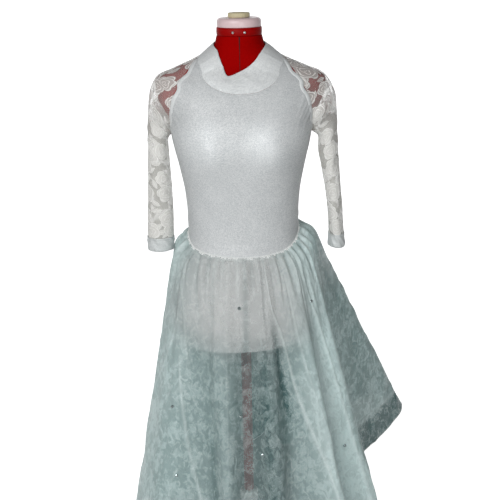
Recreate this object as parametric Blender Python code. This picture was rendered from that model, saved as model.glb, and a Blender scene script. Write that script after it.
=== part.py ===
"""A skirted leotard with lace sleeves, worn on a limbless dress form that stands on the floor.

Metres, +Z up, the front faces -Y. Angles round the body start at the front, 0, and grow
towards +X, 90. The pole of the stand is the axis until the last step, which moves the
whole part so that its origin lies at the middle of its box, on the floor.
"""

import math

import bmesh
import bpy
from mathutils import Vector

# Cloth
FORM_TO_CLOTH = 0.0008
SEAM_GAP = 0.0003
BODICE_WALL = 0.0015
LACE_WALL = 0.0012
LOWER_WALL = 0.0012
BAND_WALL = 0.0022
CUFF_WALL = 0.0020
ORGANZA_WALL = 0.0010

# The body, half sizes of each level section, as a rounded oval of the given squareness
BODY_COLUMNS = ("z", "half_width", "front", "back", "squareness")
BODY_ROWS = (
    (0.712, 0.148, 0.100, 0.116, 2.2),
    (0.745, 0.160, 0.104, 0.124, 2.2),
    (0.815, 0.168, 0.104, 0.127, 2.2),
    (0.880, 0.153, 0.097, 0.110, 2.2),
    (0.925, 0.133, 0.090, 0.093, 2.2),
    (0.965, 0.1245, 0.086, 0.086, 2.2),
    (1.010, 0.1245, 0.087, 0.084, 2.2),
    (1.060, 0.1275, 0.092, 0.086, 2.25),
    (1.120, 0.1375, 0.100, 0.092, 2.3),
    (1.180, 0.1505, 0.106, 0.098, 2.3),
    (1.205, 0.1545, 0.105, 0.100, 2.3),
    (1.228, 0.1590, 0.102, 0.101, 2.35),
    (1.252, 0.1715, 0.096, 0.099, 2.4),
    (1.285, 0.1860, 0.085, 0.092, 2.5),
    (1.309, 0.1880, 0.073, 0.083, 2.5),
    (1.321, 0.1780, 0.066, 0.077, 2.4),
    (1.333, 0.1500, 0.060, 0.071, 2.35),
    (1.346, 0.1200, 0.0565, 0.065, 2.3),
    (1.360, 0.0880, 0.0540, 0.060, 2.2),
    (1.374, 0.0660, 0.0515, 0.0545, 2.1),
    (1.388, 0.0535, 0.0495, 0.0505, 2.0),
    (1.404, 0.0485, 0.0485, 0.0485, 2.0),
)
BUST_X, BUST_Z = 0.071, 1.176
BUST_PUSH, BUST_SPREAD_X, BUST_SPREAD_Z = 0.020, 0.042, 0.050

# Seam heights round the body, by angle
WAIST_SEAM = (
    (-180, 0.978), (-130, 0.974), (-90, 0.965), (-60, 0.944), (-35, 0.935), (0, 0.930),
    (35, 0.936), (60, 0.950), (76, 0.964), (90, 0.980), (130, 0.982), (180, 0.978),
)
NECK_SEAM = (
    (-180, 1.366), (-120, 1.366), (-90, 1.363), (-68, 1.357), (-37, 1.343), (-21, 1.321),
    (-14, 1.304), (-7, 1.293), (0, 1.289), (7, 1.292), (14, 1.302), (21, 1.319),
    (37, 1.341), (68, 1.355), (90, 1.361), (120, 1.365), (180, 1.366),
)
NECKBAND_TOP = (
    (-180, 1.398), (-90, 1.387), (-48, 1.377), (-31, 1.365), (-14, 1.346), (-5, 1.328),
    (2, 1.338), (12, 1.351), (34, 1.369), (60, 1.380), (90, 1.386), (180, 1.398),
)

# Raglan seams from the neck down to the armpit: distance from the middle, and height
FRONT_RAGLAN = (
    (0.0925, 1.356), (0.103, 1.345), (0.119, 1.325), (0.132, 1.304), (0.143, 1.283),
    (0.1490, 1.260), (0.1520, 1.238), (0.1532, 1.217), (0.1560, 1.199),
)
BACK_RAGLAN = (
    (0.0690, 1.366), (0.084, 1.352), (0.103, 1.331), (0.118, 1.307), (0.131, 1.284),
    (0.1410, 1.260), (0.1480, 1.238), (0.1535, 1.217), (0.1560, 1.199),
)

# The sleeve where it crosses the shoulder, from the neck down to the armpit.
# hang is 0 where the lace lies on the shoulder and 1 where it hangs by itself
YOKE_COLUMNS = ("outer_z", "left_x", "right_x", "half_depth", "hang")
YOKE_ROWS = (
    (1.362, 0.090, 0.090, 0.060, 0.0),
    (1.3515, 0.110, 0.110, 0.060, 0.0),
    (1.342, 0.135, 0.135, 0.062, 0.0),
    (1.333, 0.160, 0.160, 0.064, 0.0),
    (1.322, 0.180, 0.180, 0.066, 0.0),
    (1.301, 0.1950, 0.2005, 0.070, 0.6),
    (1.278, 0.1985, 0.2055, 0.064, 1.0),
    (1.257, 0.2015, 0.2085, 0.052, 1.0),
    (1.235, 0.2040, 0.2105, 0.038, 1.0),
)
# The hanging sleeve, from the armpit down to the end of the cuff
SLEEVE_COLUMNS = ("inner_z", "outer_z", "half_depth", "middle_y",
                  "left_inner", "left_outer", "right_inner", "right_outer")
SLEEVE_ROWS = (
    (1.183, 1.205, 0.035, 0.001, 0.1640, 0.2060, 0.1715, 0.2115),
    (1.150, 1.170, 0.033, 0.002, 0.1640, 0.2080, 0.1725, 0.2135),
    (1.110, 1.122, 0.031, 0.004, 0.1630, 0.2110, 0.1805, 0.2175),
    (1.060, 1.066, 0.029, 0.006, 0.1615, 0.2145, 0.1895, 0.2225),
    (1.005, 1.009, 0.027, 0.008, 0.1615, 0.2185, 0.1965, 0.2275),
    (0.953, 0.953, 0.026, 0.010, 0.1635, 0.2220, 0.1995, 0.2325),
)
CUFF_ROWS = (
    (0.953, 0.953, 0.026, 0.010, 0.1635, 0.2220, 0.1995, 0.2325),
    (0.936, 0.937, 0.026, 0.010, 0.1635, 0.2225, 0.1990, 0.2340),
    (0.922, 0.920, 0.026, 0.010, 0.1640, 0.2225, 0.1990, 0.2360),
)

# The skirt. Each row is a crest or a trough of a flute: where it starts round the waist,
# and where its hem hangs, as an angle and a distance from the pole.
# Columns: waist_angle, hem_angle, hem_radius
SKIRT_LENGTH = 0.730
SKIRT_FOLDS = (
    (0, 2, 0.215), (14, 17, 0.268), (25, 31, 0.232), (38, 45, 0.335),
    (50, 58, 0.262), (63, 73, 0.338), (76, 91, 0.240), (90, 108, 0.300),
    (101, 117, 0.485), (114, 129, 0.478), (126, 139, 0.390), (139, 151, 0.215),
    (153, 165, 0.265), (168, 178, 0.215), (184, 192, 0.252), (200, 209, 0.190),
    (216, 225, 0.238), (234, 244, 0.145), (252, 262, 0.155), (270, 273, 0.262),
    (285, 290, 0.302), (303, 314, 0.298), (322, 334, 0.220), (342, 349, 0.262),
)
# Gores, each from one fold's place in the table to another's
SKIRT_GORES = (
    ("skirt_front", -2, 3), ("skirt_side_right_of_view", 3, 7),
    ("skirt_back_right_of_view", 7, 13), ("skirt_back_left_of_view", 13, 19),
    ("skirt_side_left_of_view", 19, 22),
)
COLUMNS_A_FOLD = 6
COLUMNS_A_GATHER = 4
SKIRT_LEVELS = (0.0, 0.014, 0.036, 0.075, 0.140, 0.25, 0.40, 0.58, 0.78, 1.0)
GATHER_DEPTH, GATHER_REACH = 0.0042, 0.034
PUFF, PUFF_REACH = 0.025, 0.035
SKIRT_BELOW_SEAM, SKIRT_OFF_LOWER = 0.0012, 0.0006
SKIRT_OVER_HIP, SKIRT_LEAST_OVER_HIP, HIP_SOFTNESS = 0.007, 0.003, 0.006
HIP_FADE = (0.14, 0.01)

# Columns and rows of the other pieces
FRONT_COLUMNS, BACK_COLUMNS, SLEEVE_AROUND = 20, 16, 14
SIDE_LEVELS = 8
RAGLAN_LEVELS = len(FRONT_RAGLAN) - 1
LOWER_LEVELS = 6
LOWER_HEM_Z = 0.708
BAND_LEVELS = 3
BAND_BULGE = 0.0022

# The dress form and its stand
TORSO_AROUND = 28
TORSO_STEP = 0.030
TORSO_INSET = 0.0027
SHOULDER_Z, NECK_SLOPE_Z = 1.285, 1.333
NECK_START, NECK_FULL = 1.380, 1.396
NECK_RING = (0.0485, 1.4043, 1.4210)
CAP_RADIUS, CAP_BOTTOM, CAP_TOP, CAP_ROUND = 0.0475, 1.4213, 1.4400, 0.008
DIAL = (0.0235, 1.4403, 1.4500)
POLE_RADIUS, HUB_RADIUS = 0.0125, 0.0225
HUB_BOTTOM, HUB_TOP, HUB_ROUND = 0.150, 0.257, 0.006
LEG_COUNT, LEG_REACH, LEG_RADIUS = 5, 0.235, 0.0085
LEG_TOP, LEG_SPAN = 0.185, 6
FOOT_RADIUS, FOOT_HEIGHT = 0.014, 0.010
ROUND_SIDES = 24
FOOT_SIDES, LEG_SIDES = 12, 8
UNDERARM_CLEAR = (0.0060, 0.0036, 0.0012)

MATERIALS = {
    "shimmer_stretch": ((0.66, 0.68, 0.67), 0.42, 0.0),
    "rose_lace": ((0.72, 0.68, 0.62), 0.70, 0.0),
    "organza": ((0.33, 0.44, 0.44), 0.45, 0.0),
    "cuff_stretch": ((0.76, 0.77, 0.76), 0.45, 0.0),
    "red_form": ((0.26, 0.002, 0.003), 0.35, 0.0),
    "pink_cap": ((0.55, 0.44, 0.44), 0.45, 0.0),
    "cream_dial": ((0.56, 0.50, 0.32), 0.45, 0.0),
    "dark_pole": ((0.09, 0.02, 0.02), 0.40, 0.0),
    "white_stand": ((0.75, 0.76, 0.75), 0.40, 0.0),
}


def clear_scene():
    for thing in list(bpy.data.objects):
        bpy.data.objects.remove(thing, do_unlink=True)


def material(name):
    """The material of that name, made on its first use."""
    made = bpy.data.materials.get(name)
    if made:
        return made
    colour, roughness, metallic = MATERIALS[name]
    made = bpy.data.materials.new(name)
    made.use_nodes = True
    shader = made.node_tree.nodes["Principled BSDF"]
    shader.inputs["Base Color"].default_value = (*colour, 1.0)
    shader.inputs["Roughness"].default_value = roughness
    shader.inputs["Metallic"].default_value = metallic
    return made


def lerp(a, b, t):
    return a + (b - a) * t


def smooth_step(low, high, value):
    t = min(max((value - low) / (high - low), 0.0), 1.0)
    return t * t * (3.0 - 2.0 * t)


def smooth_read(rows, column, key):
    """A column of a table at a key in between, on a curve that never overshoots."""
    keys = [row[0] for row in rows]
    values = [row[column] for row in rows]
    key = min(max(key, keys[0]), keys[-1])
    index = max(i for i in range(len(keys) - 1) if keys[i] <= key)
    slopes = [(values[i + 1] - values[i]) / (keys[i + 1] - keys[i]) for i in range(len(keys) - 1)]

    def tangent(i):
        if i == 0 or i == len(keys) - 1:
            return slopes[min(i, len(slopes) - 1)]
        before, after = slopes[i - 1], slopes[i]
        if before * after <= 0.0:
            return 0.0
        return 2.0 * before * after / (before + after)

    width = keys[index + 1] - keys[index]
    t = (key - keys[index]) / width
    start, end = values[index], values[index + 1]
    m0, m1 = tangent(index) * width, tangent(index + 1) * width
    return ((2 * t ** 3 - 3 * t ** 2 + 1) * start + (t ** 3 - 2 * t ** 2 + t) * m0
            + (-2 * t ** 3 + 3 * t ** 2) * end + (t ** 3 - t ** 2) * m1)


def seam_height(seam, angle):
    """Height of a seam at an angle in degrees, which may lie past a full turn."""
    return smooth_read(seam, 1, (angle + 180.0) % 360.0 - 180.0)


def body_size(z):
    """Half width, front, back and squareness of the body at a height."""
    return [smooth_read(BODY_ROWS, column, z) for column in range(1, len(BODY_COLUMNS))]


def body_surface(angle, z):
    half_width, front, back, squareness = body_size(z)
    turn = math.radians(angle)
    sine, cosine = math.sin(turn), math.cos(turn)
    power = 2.0 / squareness
    x = half_width * math.copysign(abs(sine) ** power, sine)
    depth = front if cosine > 0.0 else back
    y = -depth * math.copysign(abs(cosine) ** power, cosine)
    if cosine > 0.0:
        across = (abs(x) - BUST_X) / BUST_SPREAD_X
        up = (z - BUST_Z) / BUST_SPREAD_Z
        y -= BUST_PUSH * math.exp(-across ** 2 - up ** 2) * smooth_step(0.0, 0.5, cosine)
    return Vector((x, y, z))


def body_normal(angle, z):
    turn, rise = 1.5, 0.004
    z = min(max(z, BODY_ROWS[0][0] + rise), BODY_ROWS[-1][0] - rise)
    around = body_surface(angle + turn, z) - body_surface(angle - turn, z)
    up = body_surface(angle, z + rise) - body_surface(angle, z - rise)
    return around.cross(up).normalized()


def angle_of(x, z):
    """The front angle at which the body is x wide of its middle."""
    half_width, _front, _back, squareness = body_size(z)
    share = min(abs(x) / half_width, 1.0)
    return math.degrees(math.asin(share ** (squareness / 2.0)))


def on_body(angle, z, away):
    """A point off the body by the distance away, with the normal there."""
    normal = body_normal(angle, z)
    return body_surface(angle, z) + normal * away, normal


def trim(points, gap):
    """Draw the four edges of a grid in by half a seam's gap."""
    last_row, last_column = len(points) - 1, len(points[0]) - 1
    moved = [[point.copy() for point in row] for row in points]
    for i in range(last_row + 1):
        for j, beside in ((0, 1), (last_column, last_column - 1)):
            moved[i][j] += (points[i][beside] - points[i][j]).normalized() * gap / 2
    for j in range(last_column + 1):
        for i, beside in ((0, 1), (last_row, last_row - 1)):
            moved[i][j] += (points[beside][j] - points[i][j]).normalized() * gap / 2
    return moved


def trim_ends(points, gap):
    """Draw the first and last row of a ring-shaped grid in by half a seam's gap."""
    moved = [[point.copy() for point in row] for row in points]
    last = len(points) - 1
    for i, beside in ((0, 1), (last, last - 1)):
        for j, point in enumerate(points[i]):
            moved[i][j] += (points[beside][j] - point).normalized() * gap / 2
    return moved


def grid_normals(points, joined_to):
    """Normals of a grid. Rows up to joined_to run right round, so their ends are beside."""
    rows, columns = len(points), len(points[0])
    normals = []
    for i in range(rows):
        row = []
        below, above = points[max(i - 1, 0)], points[min(i + 1, rows - 1)]
        for j in range(columns):
            if i < joined_to and j in (0, columns - 1):
                before, after = points[i][columns - 2], points[i][1]
            else:
                before, after = points[i][max(j - 1, 0)], points[i][min(j + 1, columns - 1)]
            row.append((after - before).cross(above[j] - below[j]).normalized())
        normals.append(row)
    return normals


def cloth_wall(name, finish, points, normals, wall, joined_to=0):
    """A closed wall over a grid of inner points. Rows below joined_to close into rings."""
    rows, columns = len(points), len(points[0])
    inner, outer = {}, {}
    mesh = bmesh.new()
    for i in range(rows):
        for j in range(columns):
            if i < joined_to and j == columns - 1:
                inner[i, j], outer[i, j] = inner[i, 0], outer[i, 0]
                continue
            inner[i, j] = mesh.verts.new(points[i][j])
            outer[i, j] = mesh.verts.new(points[i][j] + normals[i][j] * wall)
    edges = {}
    for i in range(rows - 1):
        for j in range(columns - 1):
            corners = ((i, j), (i, j + 1), (i + 1, j + 1), (i + 1, j))
            mesh.faces.new([outer[corner] for corner in corners])
            mesh.faces.new([inner[corner] for corner in reversed(corners)])
            for start, end in zip(corners, corners[1:] + corners[:1]):
                key = frozenset((outer[start], outer[end]))
                edges.setdefault(key, []).append((start, end))
    for sides in edges.values():
        if len(sides) == 1:
            start, end = sides[0]
            mesh.faces.new((outer[end], outer[start], inner[start], inner[end]))
    return finish_mesh(name, finish, mesh)


def finish_mesh(name, finish, mesh, smooth_angle=40.0):
    data = bpy.data.meshes.new(name)
    mesh.to_mesh(data)
    mesh.free()
    data.shade_smooth()
    data.set_sharp_from_angle(angle=math.radians(smooth_angle))
    made = bpy.data.objects.new(name, data)
    made.data.materials.append(material(finish))
    bpy.context.scene.collection.objects.link(made)
    return made


def raglan_point(table, side, level):
    """Angle and height of a raglan seam. Level 0 is the armpit, the last is the neck."""
    x, z = table[len(table) - 1 - level]
    angle = angle_of(x, z) if level else 90.0
    if table is BACK_RAGLAN:
        angle = 180.0 - angle
    return side * angle, z


def panel_side(table, side, level):
    """A bodice panel's edge: the side seam up to the armpit, then the raglan seam."""
    if level <= SIDE_LEVELS:
        low = seam_height(WAIST_SEAM, side * 90.0)
        return side * 90.0, lerp(low, table[-1][1], level / SIDE_LEVELS)
    return raglan_point(table, side, level - SIDE_LEVELS)


def bodice_points(table, first_side, columns):
    """Angles and heights of a bodice panel, from its waist up to its neck."""
    levels = SIDE_LEVELS + RAGLAN_LEVELS
    full_turn = 360.0 if table is BACK_RAGLAN else 0.0
    grid = []
    for level in range(levels + 1):
        start_angle, start_z = panel_side(table, first_side, level)
        end_angle, end_z = panel_side(table, -first_side, level)
        end_angle += full_turn
        up = level / levels
        near_waist = (1.0 - up) ** 2
        row = []
        for column in range(columns + 1):
            t = column / columns
            angle = lerp(start_angle, end_angle, t)
            z = lerp(start_z, end_z, t)
            for seam, share in ((WAIST_SEAM, near_waist), (NECK_SEAM, 1.0 - near_waist)):
                ends = lerp(seam_height(seam, start_angle), seam_height(seam, end_angle), t)
                z += share * (seam_height(seam, angle) - ends)
            if level == levels:
                z = seam_height(NECK_SEAM, angle)
            row.append((angle, z))
        grid.append(row)
    return grid


def wall_on_body(name, finish, places, away, wall):
    """A cloth wall whose inner side lies off the body by the distance away."""
    pairs = [[on_body(angle, z, away) for angle, z in row] for row in places]
    points = trim([[pair[0] for pair in row] for row in pairs], SEAM_GAP)
    normals = [[pair[1] for pair in row] for row in pairs]
    return cloth_wall(name, finish, points, normals, wall)


def make_bodice():
    front = bodice_points(FRONT_RAGLAN, -1, FRONT_COLUMNS)
    back = bodice_points(BACK_RAGLAN, 1, BACK_COLUMNS)
    wall_on_body("bodice_front", "shimmer_stretch", front, FORM_TO_CLOTH, BODICE_WALL)
    wall_on_body("bodice_back", "shimmer_stretch", back, FORM_TO_CLOTH, BODICE_WALL)


def make_lower_leotard():
    """The leotard below the waist seam, a front and a back that end at the form's edge."""
    for name, start, columns in (("lower_front", -90.0, FRONT_COLUMNS),
                                 ("lower_back", 90.0, BACK_COLUMNS)):
        places = []
        for level in range(LOWER_LEVELS + 1):
            angles = [start + 180.0 * column / columns for column in range(columns + 1)]
            places.append([(angle, lerp(LOWER_HEM_Z, seam_height(WAIST_SEAM, angle),
                                        level / LOWER_LEVELS)) for angle in angles])
        wall_on_body(name, "shimmer_stretch", places, FORM_TO_CLOTH, LOWER_WALL)


def neck_angles():
    """The angles of the neck edges of all four pieces, once round."""
    front = raglan_point(FRONT_RAGLAN, 1, RAGLAN_LEVELS)[0]
    back = raglan_point(BACK_RAGLAN, 1, RAGLAN_LEVELS)[0]
    spans = ((-front, front, FRONT_COLUMNS), (front, back, SLEEVE_AROUND),
             (back, 360.0 - back, BACK_COLUMNS), (360.0 - back, 360.0 - front, SLEEVE_AROUND))
    angles = []
    for start, end, columns in spans:
        angles += [lerp(start, end, column / columns) for column in range(columns)]
    return angles + [360.0 - front]


def make_neckband():
    """A folded band that stands up from the neck seam to its own uneven top edge."""
    angles = neck_angles()
    points, normals = [], []
    for level in range(BAND_LEVELS + 1):
        up = level / BAND_LEVELS
        bulge = BAND_BULGE * math.sin(math.pi * up)
        pairs = []
        for angle in angles:
            z = lerp(seam_height(NECK_SEAM, angle), seam_height(NECKBAND_TOP, angle), up)
            pairs.append(on_body(angle, z, FORM_TO_CLOTH + bulge))
        points.append([pair[0] for pair in pairs])
        normals.append([pair[1] for pair in pairs])
    points = trim_ends(points, SEAM_GAP)
    cloth_wall("neckband", "shimmer_stretch", points, normals, BAND_WALL, BAND_LEVELS + 1)


def hanging_row(start, end, outer, half_depth, forward):
    """Points from start round the outer point to end, on part of an oval."""
    middle = (start + end) / 2
    half = (start - end).length / 2
    across = (start - end).normalized() if half > 1e-5 else forward
    half_depth = max(half_depth, half)
    opening = math.asin(min(half / half_depth, 1.0))
    outward = outer - middle
    reach = outward.length / (1.0 + math.cos(opening))
    outward = outward.normalized()
    centre = middle + outward * reach * math.cos(opening)
    row = []
    for column in range(SLEEVE_AROUND + 1):
        turn = lerp(opening, 2 * math.pi - opening, column / SLEEVE_AROUND)
        row.append(centre - outward * reach * math.cos(turn)
                   + across * half_depth * math.sin(turn))
    return row


def tube_row(values, side):
    row = dict(zip(SLEEVE_COLUMNS, values))
    hand = "left" if side < 0 else "right"
    inner = Vector((side * row[f"{hand}_inner"], row["middle_y"], row["inner_z"]))
    outer = Vector((side * row[f"{hand}_outer"], row["middle_y"], row["outer_z"]))
    return hanging_row(inner, inner, outer, row["half_depth"], Vector((0.0, -side, 0.0)))


def yoke_row(level, side):
    """A row of the sleeve above the armpit, with its points and its end normals."""
    row = dict(zip(YOKE_COLUMNS, YOKE_ROWS[len(YOKE_ROWS) - 1 - level]))
    outer_z, hang = row["outer_z"], row["hang"]
    front = raglan_point(FRONT_RAGLAN, side, level)
    back = raglan_point(BACK_RAGLAN, side, level)
    start, end = (front, back) if side > 0 else (back, front)
    neck_row = level == RAGLAN_LEVELS
    pairs = []
    for column in range(SLEEVE_AROUND + 1):
        t = column / SLEEVE_AROUND
        angle = lerp(start[0], end[0], t)
        hump = outer_z - (start[1] + end[1]) / 2
        z = lerp(start[1], end[1], t) + hump * math.sin(math.pi * t)
        if neck_row:
            z = seam_height(NECK_SEAM, angle)
        pairs.append(on_body(angle, z, FORM_TO_CLOTH))
    outer_x = row["left_x"] if side < 0 else row["right_x"]
    first, last = pairs[0][0], pairs[-1][0]
    outer = Vector((side * outer_x, (first.y + last.y) / 2, outer_z))
    free = hanging_row(first, last, outer, row["half_depth"], Vector((0.0, -side, 0.0)))
    points = [pair[0].lerp(point, hang) for pair, point in zip(pairs, free)]
    return points, pairs[0][1], pairs[-1][1], [pair[1] for pair in pairs], hang


def make_sleeve(name, side):
    """A raglan sleeve: a tube that opens over the shoulder up to the neck seam."""
    points = [tube_row(values, side) for values in reversed(SLEEVE_ROWS)]
    tube_rows = len(points)
    yoke = [yoke_row(level, side) for level in range(RAGLAN_LEVELS + 1)]
    points += [row[0] for row in yoke]
    normals = grid_normals(points, tube_rows + 1)
    for i, (_row, first, last, resting, hang) in enumerate(yoke, start=tube_rows):
        normals[i] = [a.lerp(b, hang).normalized() for a, b in zip(resting, normals[i])]
        normals[i][0], normals[i][-1] = first, last
    trimmed = trim(points, SEAM_GAP)
    for i in range(tube_rows + 1):
        trimmed[i][0] = points[i][0].copy()
        trimmed[i][-1] = trimmed[i][0].copy()
    trimmed[0][0] = trimmed[0][-1] = points[0][0].lerp(points[1][0], 0.003)
    for step, clear in enumerate(UNDERARM_CLEAR):
        for end in (0, -1):
            trimmed[tube_rows + step][end] += Vector((side * clear, 0.0, 0.0))
    normals[tube_rows][0] = Vector((-0.3 * side, 0.0, -1.0)).normalized()
    cloth_wall(name, "rose_lace", trimmed, normals, LACE_WALL, tube_rows + 1)


def make_cuff(name, side):
    points = [tube_row(values, side) for values in reversed(CUFF_ROWS)]
    normals = grid_normals(points, len(points))
    cloth_wall(name, "cuff_stretch", trim_ends(points, SEAM_GAP), normals, CUFF_WALL, len(points))


def periodic_curve(rows, column, place):
    """A smooth closed curve through a column of the rows, at a place counted in rows."""
    count = len(rows)
    index = math.floor(place)
    t = place - index
    a, b, c, d = (rows[(index + step) % count][column] for step in (-1, 0, 1, 2))
    return 0.5 * (2 * b + (c - a) * t + (2 * a - 5 * b + 4 * c - d) * t ** 2
                  + (3 * b - a - 3 * c + d) * t ** 3)


def skirt_plan():
    """For each fold: how its waist angle differs from an even spread, and its hem's x, y."""
    count = len(SKIRT_FOLDS)
    rows = []
    for index, (waist_angle, hem_angle, radius) in enumerate(SKIRT_FOLDS):
        turn = math.radians(hem_angle)
        rows.append((waist_angle - 360.0 * index / count,
                     radius * math.sin(turn), -radius * math.cos(turn)))
    return rows


def hip_radius(direction, z):
    """Distance from the pole to the body in a level direction, none below its edge."""
    half_width, front, back, squareness = body_size(max(z, BODY_ROWS[0][0]))
    depth = front if direction.y < 0.0 else back
    share = ((abs(direction.x) / half_width) ** squareness
             + (abs(direction.y) / depth) ** squareness)
    far, near = HIP_FADE
    below = smooth_step(BODY_ROWS[0][0] - far, BODY_ROWS[0][0] - near, z)
    return share ** (-1.0 / squareness) * below


def gather_wave(column, level):
    """In and out of the small gathers, deepest just below the waist and uneven."""
    place = level / GATHER_REACH
    depth = GATHER_DEPTH * max(place * math.exp(1.0 - place), 0.10)
    gather = column / COLUMNS_A_GATHER
    uneven = 1.0 + 0.35 * math.sin(2.3 * gather) + 0.25 * math.sin(5.1 * gather + 1.0)
    return depth * uneven * (0.6 + math.cos(2 * math.pi * gather))


def skirt_point(plan, column, level):
    place = column / COLUMNS_A_FOLD
    count = len(SKIRT_FOLDS)
    angle = 360.0 * place / count + periodic_curve(plan, 0, place)
    waist_z = seam_height(WAIST_SEAM, angle) - SKIRT_BELOW_SEAM
    waist, normal = on_body(angle, waist_z, FORM_TO_CLOTH + LOWER_WALL + SKIRT_OFF_LOWER)
    hem = Vector((periodic_curve(plan, 1, place), periodic_curve(plan, 2, place)))
    across = hem - waist.xy
    drop = math.sqrt(SKIRT_LENGTH ** 2 - across.length_squared)
    flat = waist.xy + across * level
    z = waist.z - drop * level
    puff = PUFF * (1.0 - math.exp(-level / PUFF_REACH)) * (1.0 - level) ** 0.8
    wave = gather_wave(column, level)
    outward = normal.xy.normalized().lerp(flat.normalized(), min(level * 3.0, 1.0)).normalized()
    flat = flat + outward * (puff + wave)
    direction = flat.normalized()
    radius = flat.length
    if level > 0.0:
        least = (hip_radius(direction, z) + SKIRT_LEAST_OVER_HIP
                 + SKIRT_OVER_HIP * min(level / 0.05, 1.0))
        soft = HIP_SOFTNESS * min(level / 0.1, 1.0)
        radius = (radius + least + math.sqrt((radius - least) ** 2 + soft ** 2)) / 2
    flat = direction * radius
    return Vector((flat.x, flat.y, z))


def make_skirt():
    """Flared gores, gathered into the waist, with a seam from waist to hem between them."""
    plan = skirt_plan()
    for name, first_fold, last_fold in SKIRT_GORES:
        start, end = first_fold * COLUMNS_A_FOLD, last_fold * COLUMNS_A_FOLD
        wide = [[skirt_point(plan, column, level) for column in range(start - 1, end + 2)]
                for level in reversed(SKIRT_LEVELS)]
        normals = [row[1:-1] for row in grid_normals(wide, 0)]
        points = trim([row[1:-1] for row in wide], SEAM_GAP)
        cloth_wall(name, "organza", points, normals, ORGANZA_WALL)


def stack_rings(name, finish, rings, smooth_angle=40.0):
    """A solid through rings of points from the bottom up, closed at both ends."""
    mesh = bmesh.new()
    loops = [[mesh.verts.new(point) for point in ring] for ring in rings]
    count = len(loops[0])
    for lower, upper in zip(loops, loops[1:]):
        for j in range(count):
            k = (j + 1) % count
            mesh.faces.new((lower[j], lower[k], upper[k], upper[j]))
    mesh.faces.new(list(reversed(loops[0])))
    mesh.faces.new(loops[-1])
    return finish_mesh(name, finish, mesh, smooth_angle)


def circle(radius, z, sides=ROUND_SIDES):
    turns = [2 * math.pi * side / sides for side in range(sides)]
    return [Vector((radius * math.cos(turn), radius * math.sin(turn), z)) for turn in turns]


def make_torso():
    """The smooth padded form, from its lower edge to the top of its neck."""
    low, high = BODY_ROWS[0][0], BODY_ROWS[-1][0]
    below = math.ceil((SHOULDER_Z - low) / TORSO_STEP)
    heights = [lerp(low, SHOULDER_Z, step / below) for step in range(below)]
    heights += [row[0] for row in BODY_ROWS if row[0] >= SHOULDER_Z]
    heights += [(low_row[0] + high_row[0]) / 2 for low_row, high_row in zip(BODY_ROWS, BODY_ROWS[1:])
                if low_row[0] >= NECK_SLOPE_Z]
    heights.sort()
    turns = [360.0 * side / TORSO_AROUND for side in range(TORSO_AROUND)]
    rings = []
    for z in heights:
        inset = TORSO_INSET * (1.0 - smooth_step(NECK_START, NECK_FULL, z))
        rings.append([on_body(turn, z, -inset)[0] for turn in turns])
    for ring, z in ((rings[0], low), (rings[-1], high)):
        for point in ring:
            point.z = z
    stack_rings("form_torso", "red_form", rings)


def make_neck_top():
    radius, bottom, top = NECK_RING
    stack_rings("form_neck_ring", "red_form", [circle(radius, bottom), circle(radius, top)])
    rings = [circle(CAP_RADIUS, CAP_BOTTOM)]
    for step in range(4):
        turn = math.radians(30.0 * step)
        rings.append(circle(CAP_RADIUS - CAP_ROUND * (1.0 - math.cos(turn)),
                            CAP_TOP - CAP_ROUND * (1.0 - math.sin(turn))))
    stack_rings("form_cap", "pink_cap", rings)
    radius, bottom, top = DIAL
    stack_rings("form_dial", "cream_dial", [circle(radius, bottom), circle(radius, top)])


def make_stand():
    """Pole, hub, and curved legs that end upright on flat feet."""
    pole = [circle(POLE_RADIUS, HUB_TOP + SEAM_GAP), circle(POLE_RADIUS, BODY_ROWS[0][0] - SEAM_GAP)]
    stack_rings("stand_pole", "dark_pole", pole)
    hub = [circle(HUB_RADIUS, HUB_BOTTOM), circle(HUB_RADIUS, HUB_TOP - HUB_ROUND),
           circle(HUB_RADIUS - HUB_ROUND * 0.3, HUB_TOP - HUB_ROUND * 0.3),
           circle(HUB_RADIUS - HUB_ROUND, HUB_TOP)]
    stack_rings("stand_hub", "white_stand", hub)
    for leg in range(LEG_COUNT):
        make_leg(leg)


def make_leg(leg):
    turn = math.radians(90.0 + 360.0 * leg / LEG_COUNT)
    outward = Vector((math.cos(turn), math.sin(turn), 0.0))
    sideways = Vector((-outward.y, outward.x, 0.0))
    start = HUB_RADIUS + SEAM_GAP
    floor_end = FOOT_HEIGHT + SEAM_GAP
    rings = []
    for step in range(LEG_SPAN + 1):
        bend = math.pi / 2 * step / LEG_SPAN
        reach = lerp(start, LEG_REACH, math.sin(bend))
        z = lerp(floor_end, LEG_TOP, math.cos(bend))
        along = Vector((math.cos(bend) * (LEG_REACH - start), -math.sin(bend) * (LEG_TOP - floor_end)))
        along.normalize()
        across = outward * -along.y + Vector((0.0, 0.0, along.x))
        centre = outward * reach + Vector((0.0, 0.0, z))
        ring = []
        for side in range(LEG_SIDES):
            around = 2 * math.pi * side / LEG_SIDES
            ring.append(centre + across * LEG_RADIUS * math.cos(around)
                        + sideways * LEG_RADIUS * math.sin(around))
        rings.append(ring)
    stack_rings(f"stand_leg_{leg + 1}", "white_stand", list(reversed(rings)))
    foot = [point + outward * LEG_REACH for point in circle(FOOT_RADIUS, 0.0, FOOT_SIDES)]
    top = [point + outward * LEG_REACH for point in circle(FOOT_RADIUS, FOOT_HEIGHT, FOOT_SIDES)]
    stack_rings(f"stand_foot_{leg + 1}", "white_stand", [foot, top])


def centre_on_box():
    """Move the whole part so that its origin is the middle of its box, on the floor."""
    corners = [vertex.co for thing in bpy.data.objects for vertex in thing.data.vertices]
    middle = [(min(co[axis] for co in corners) + max(co[axis] for co in corners)) / 2
              for axis in (0, 1)]
    move = Vector((-middle[0], -middle[1], 0.0))
    for thing in bpy.data.objects:
        for vertex in thing.data.vertices:
            vertex.co += move
        thing.data.update()


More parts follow.
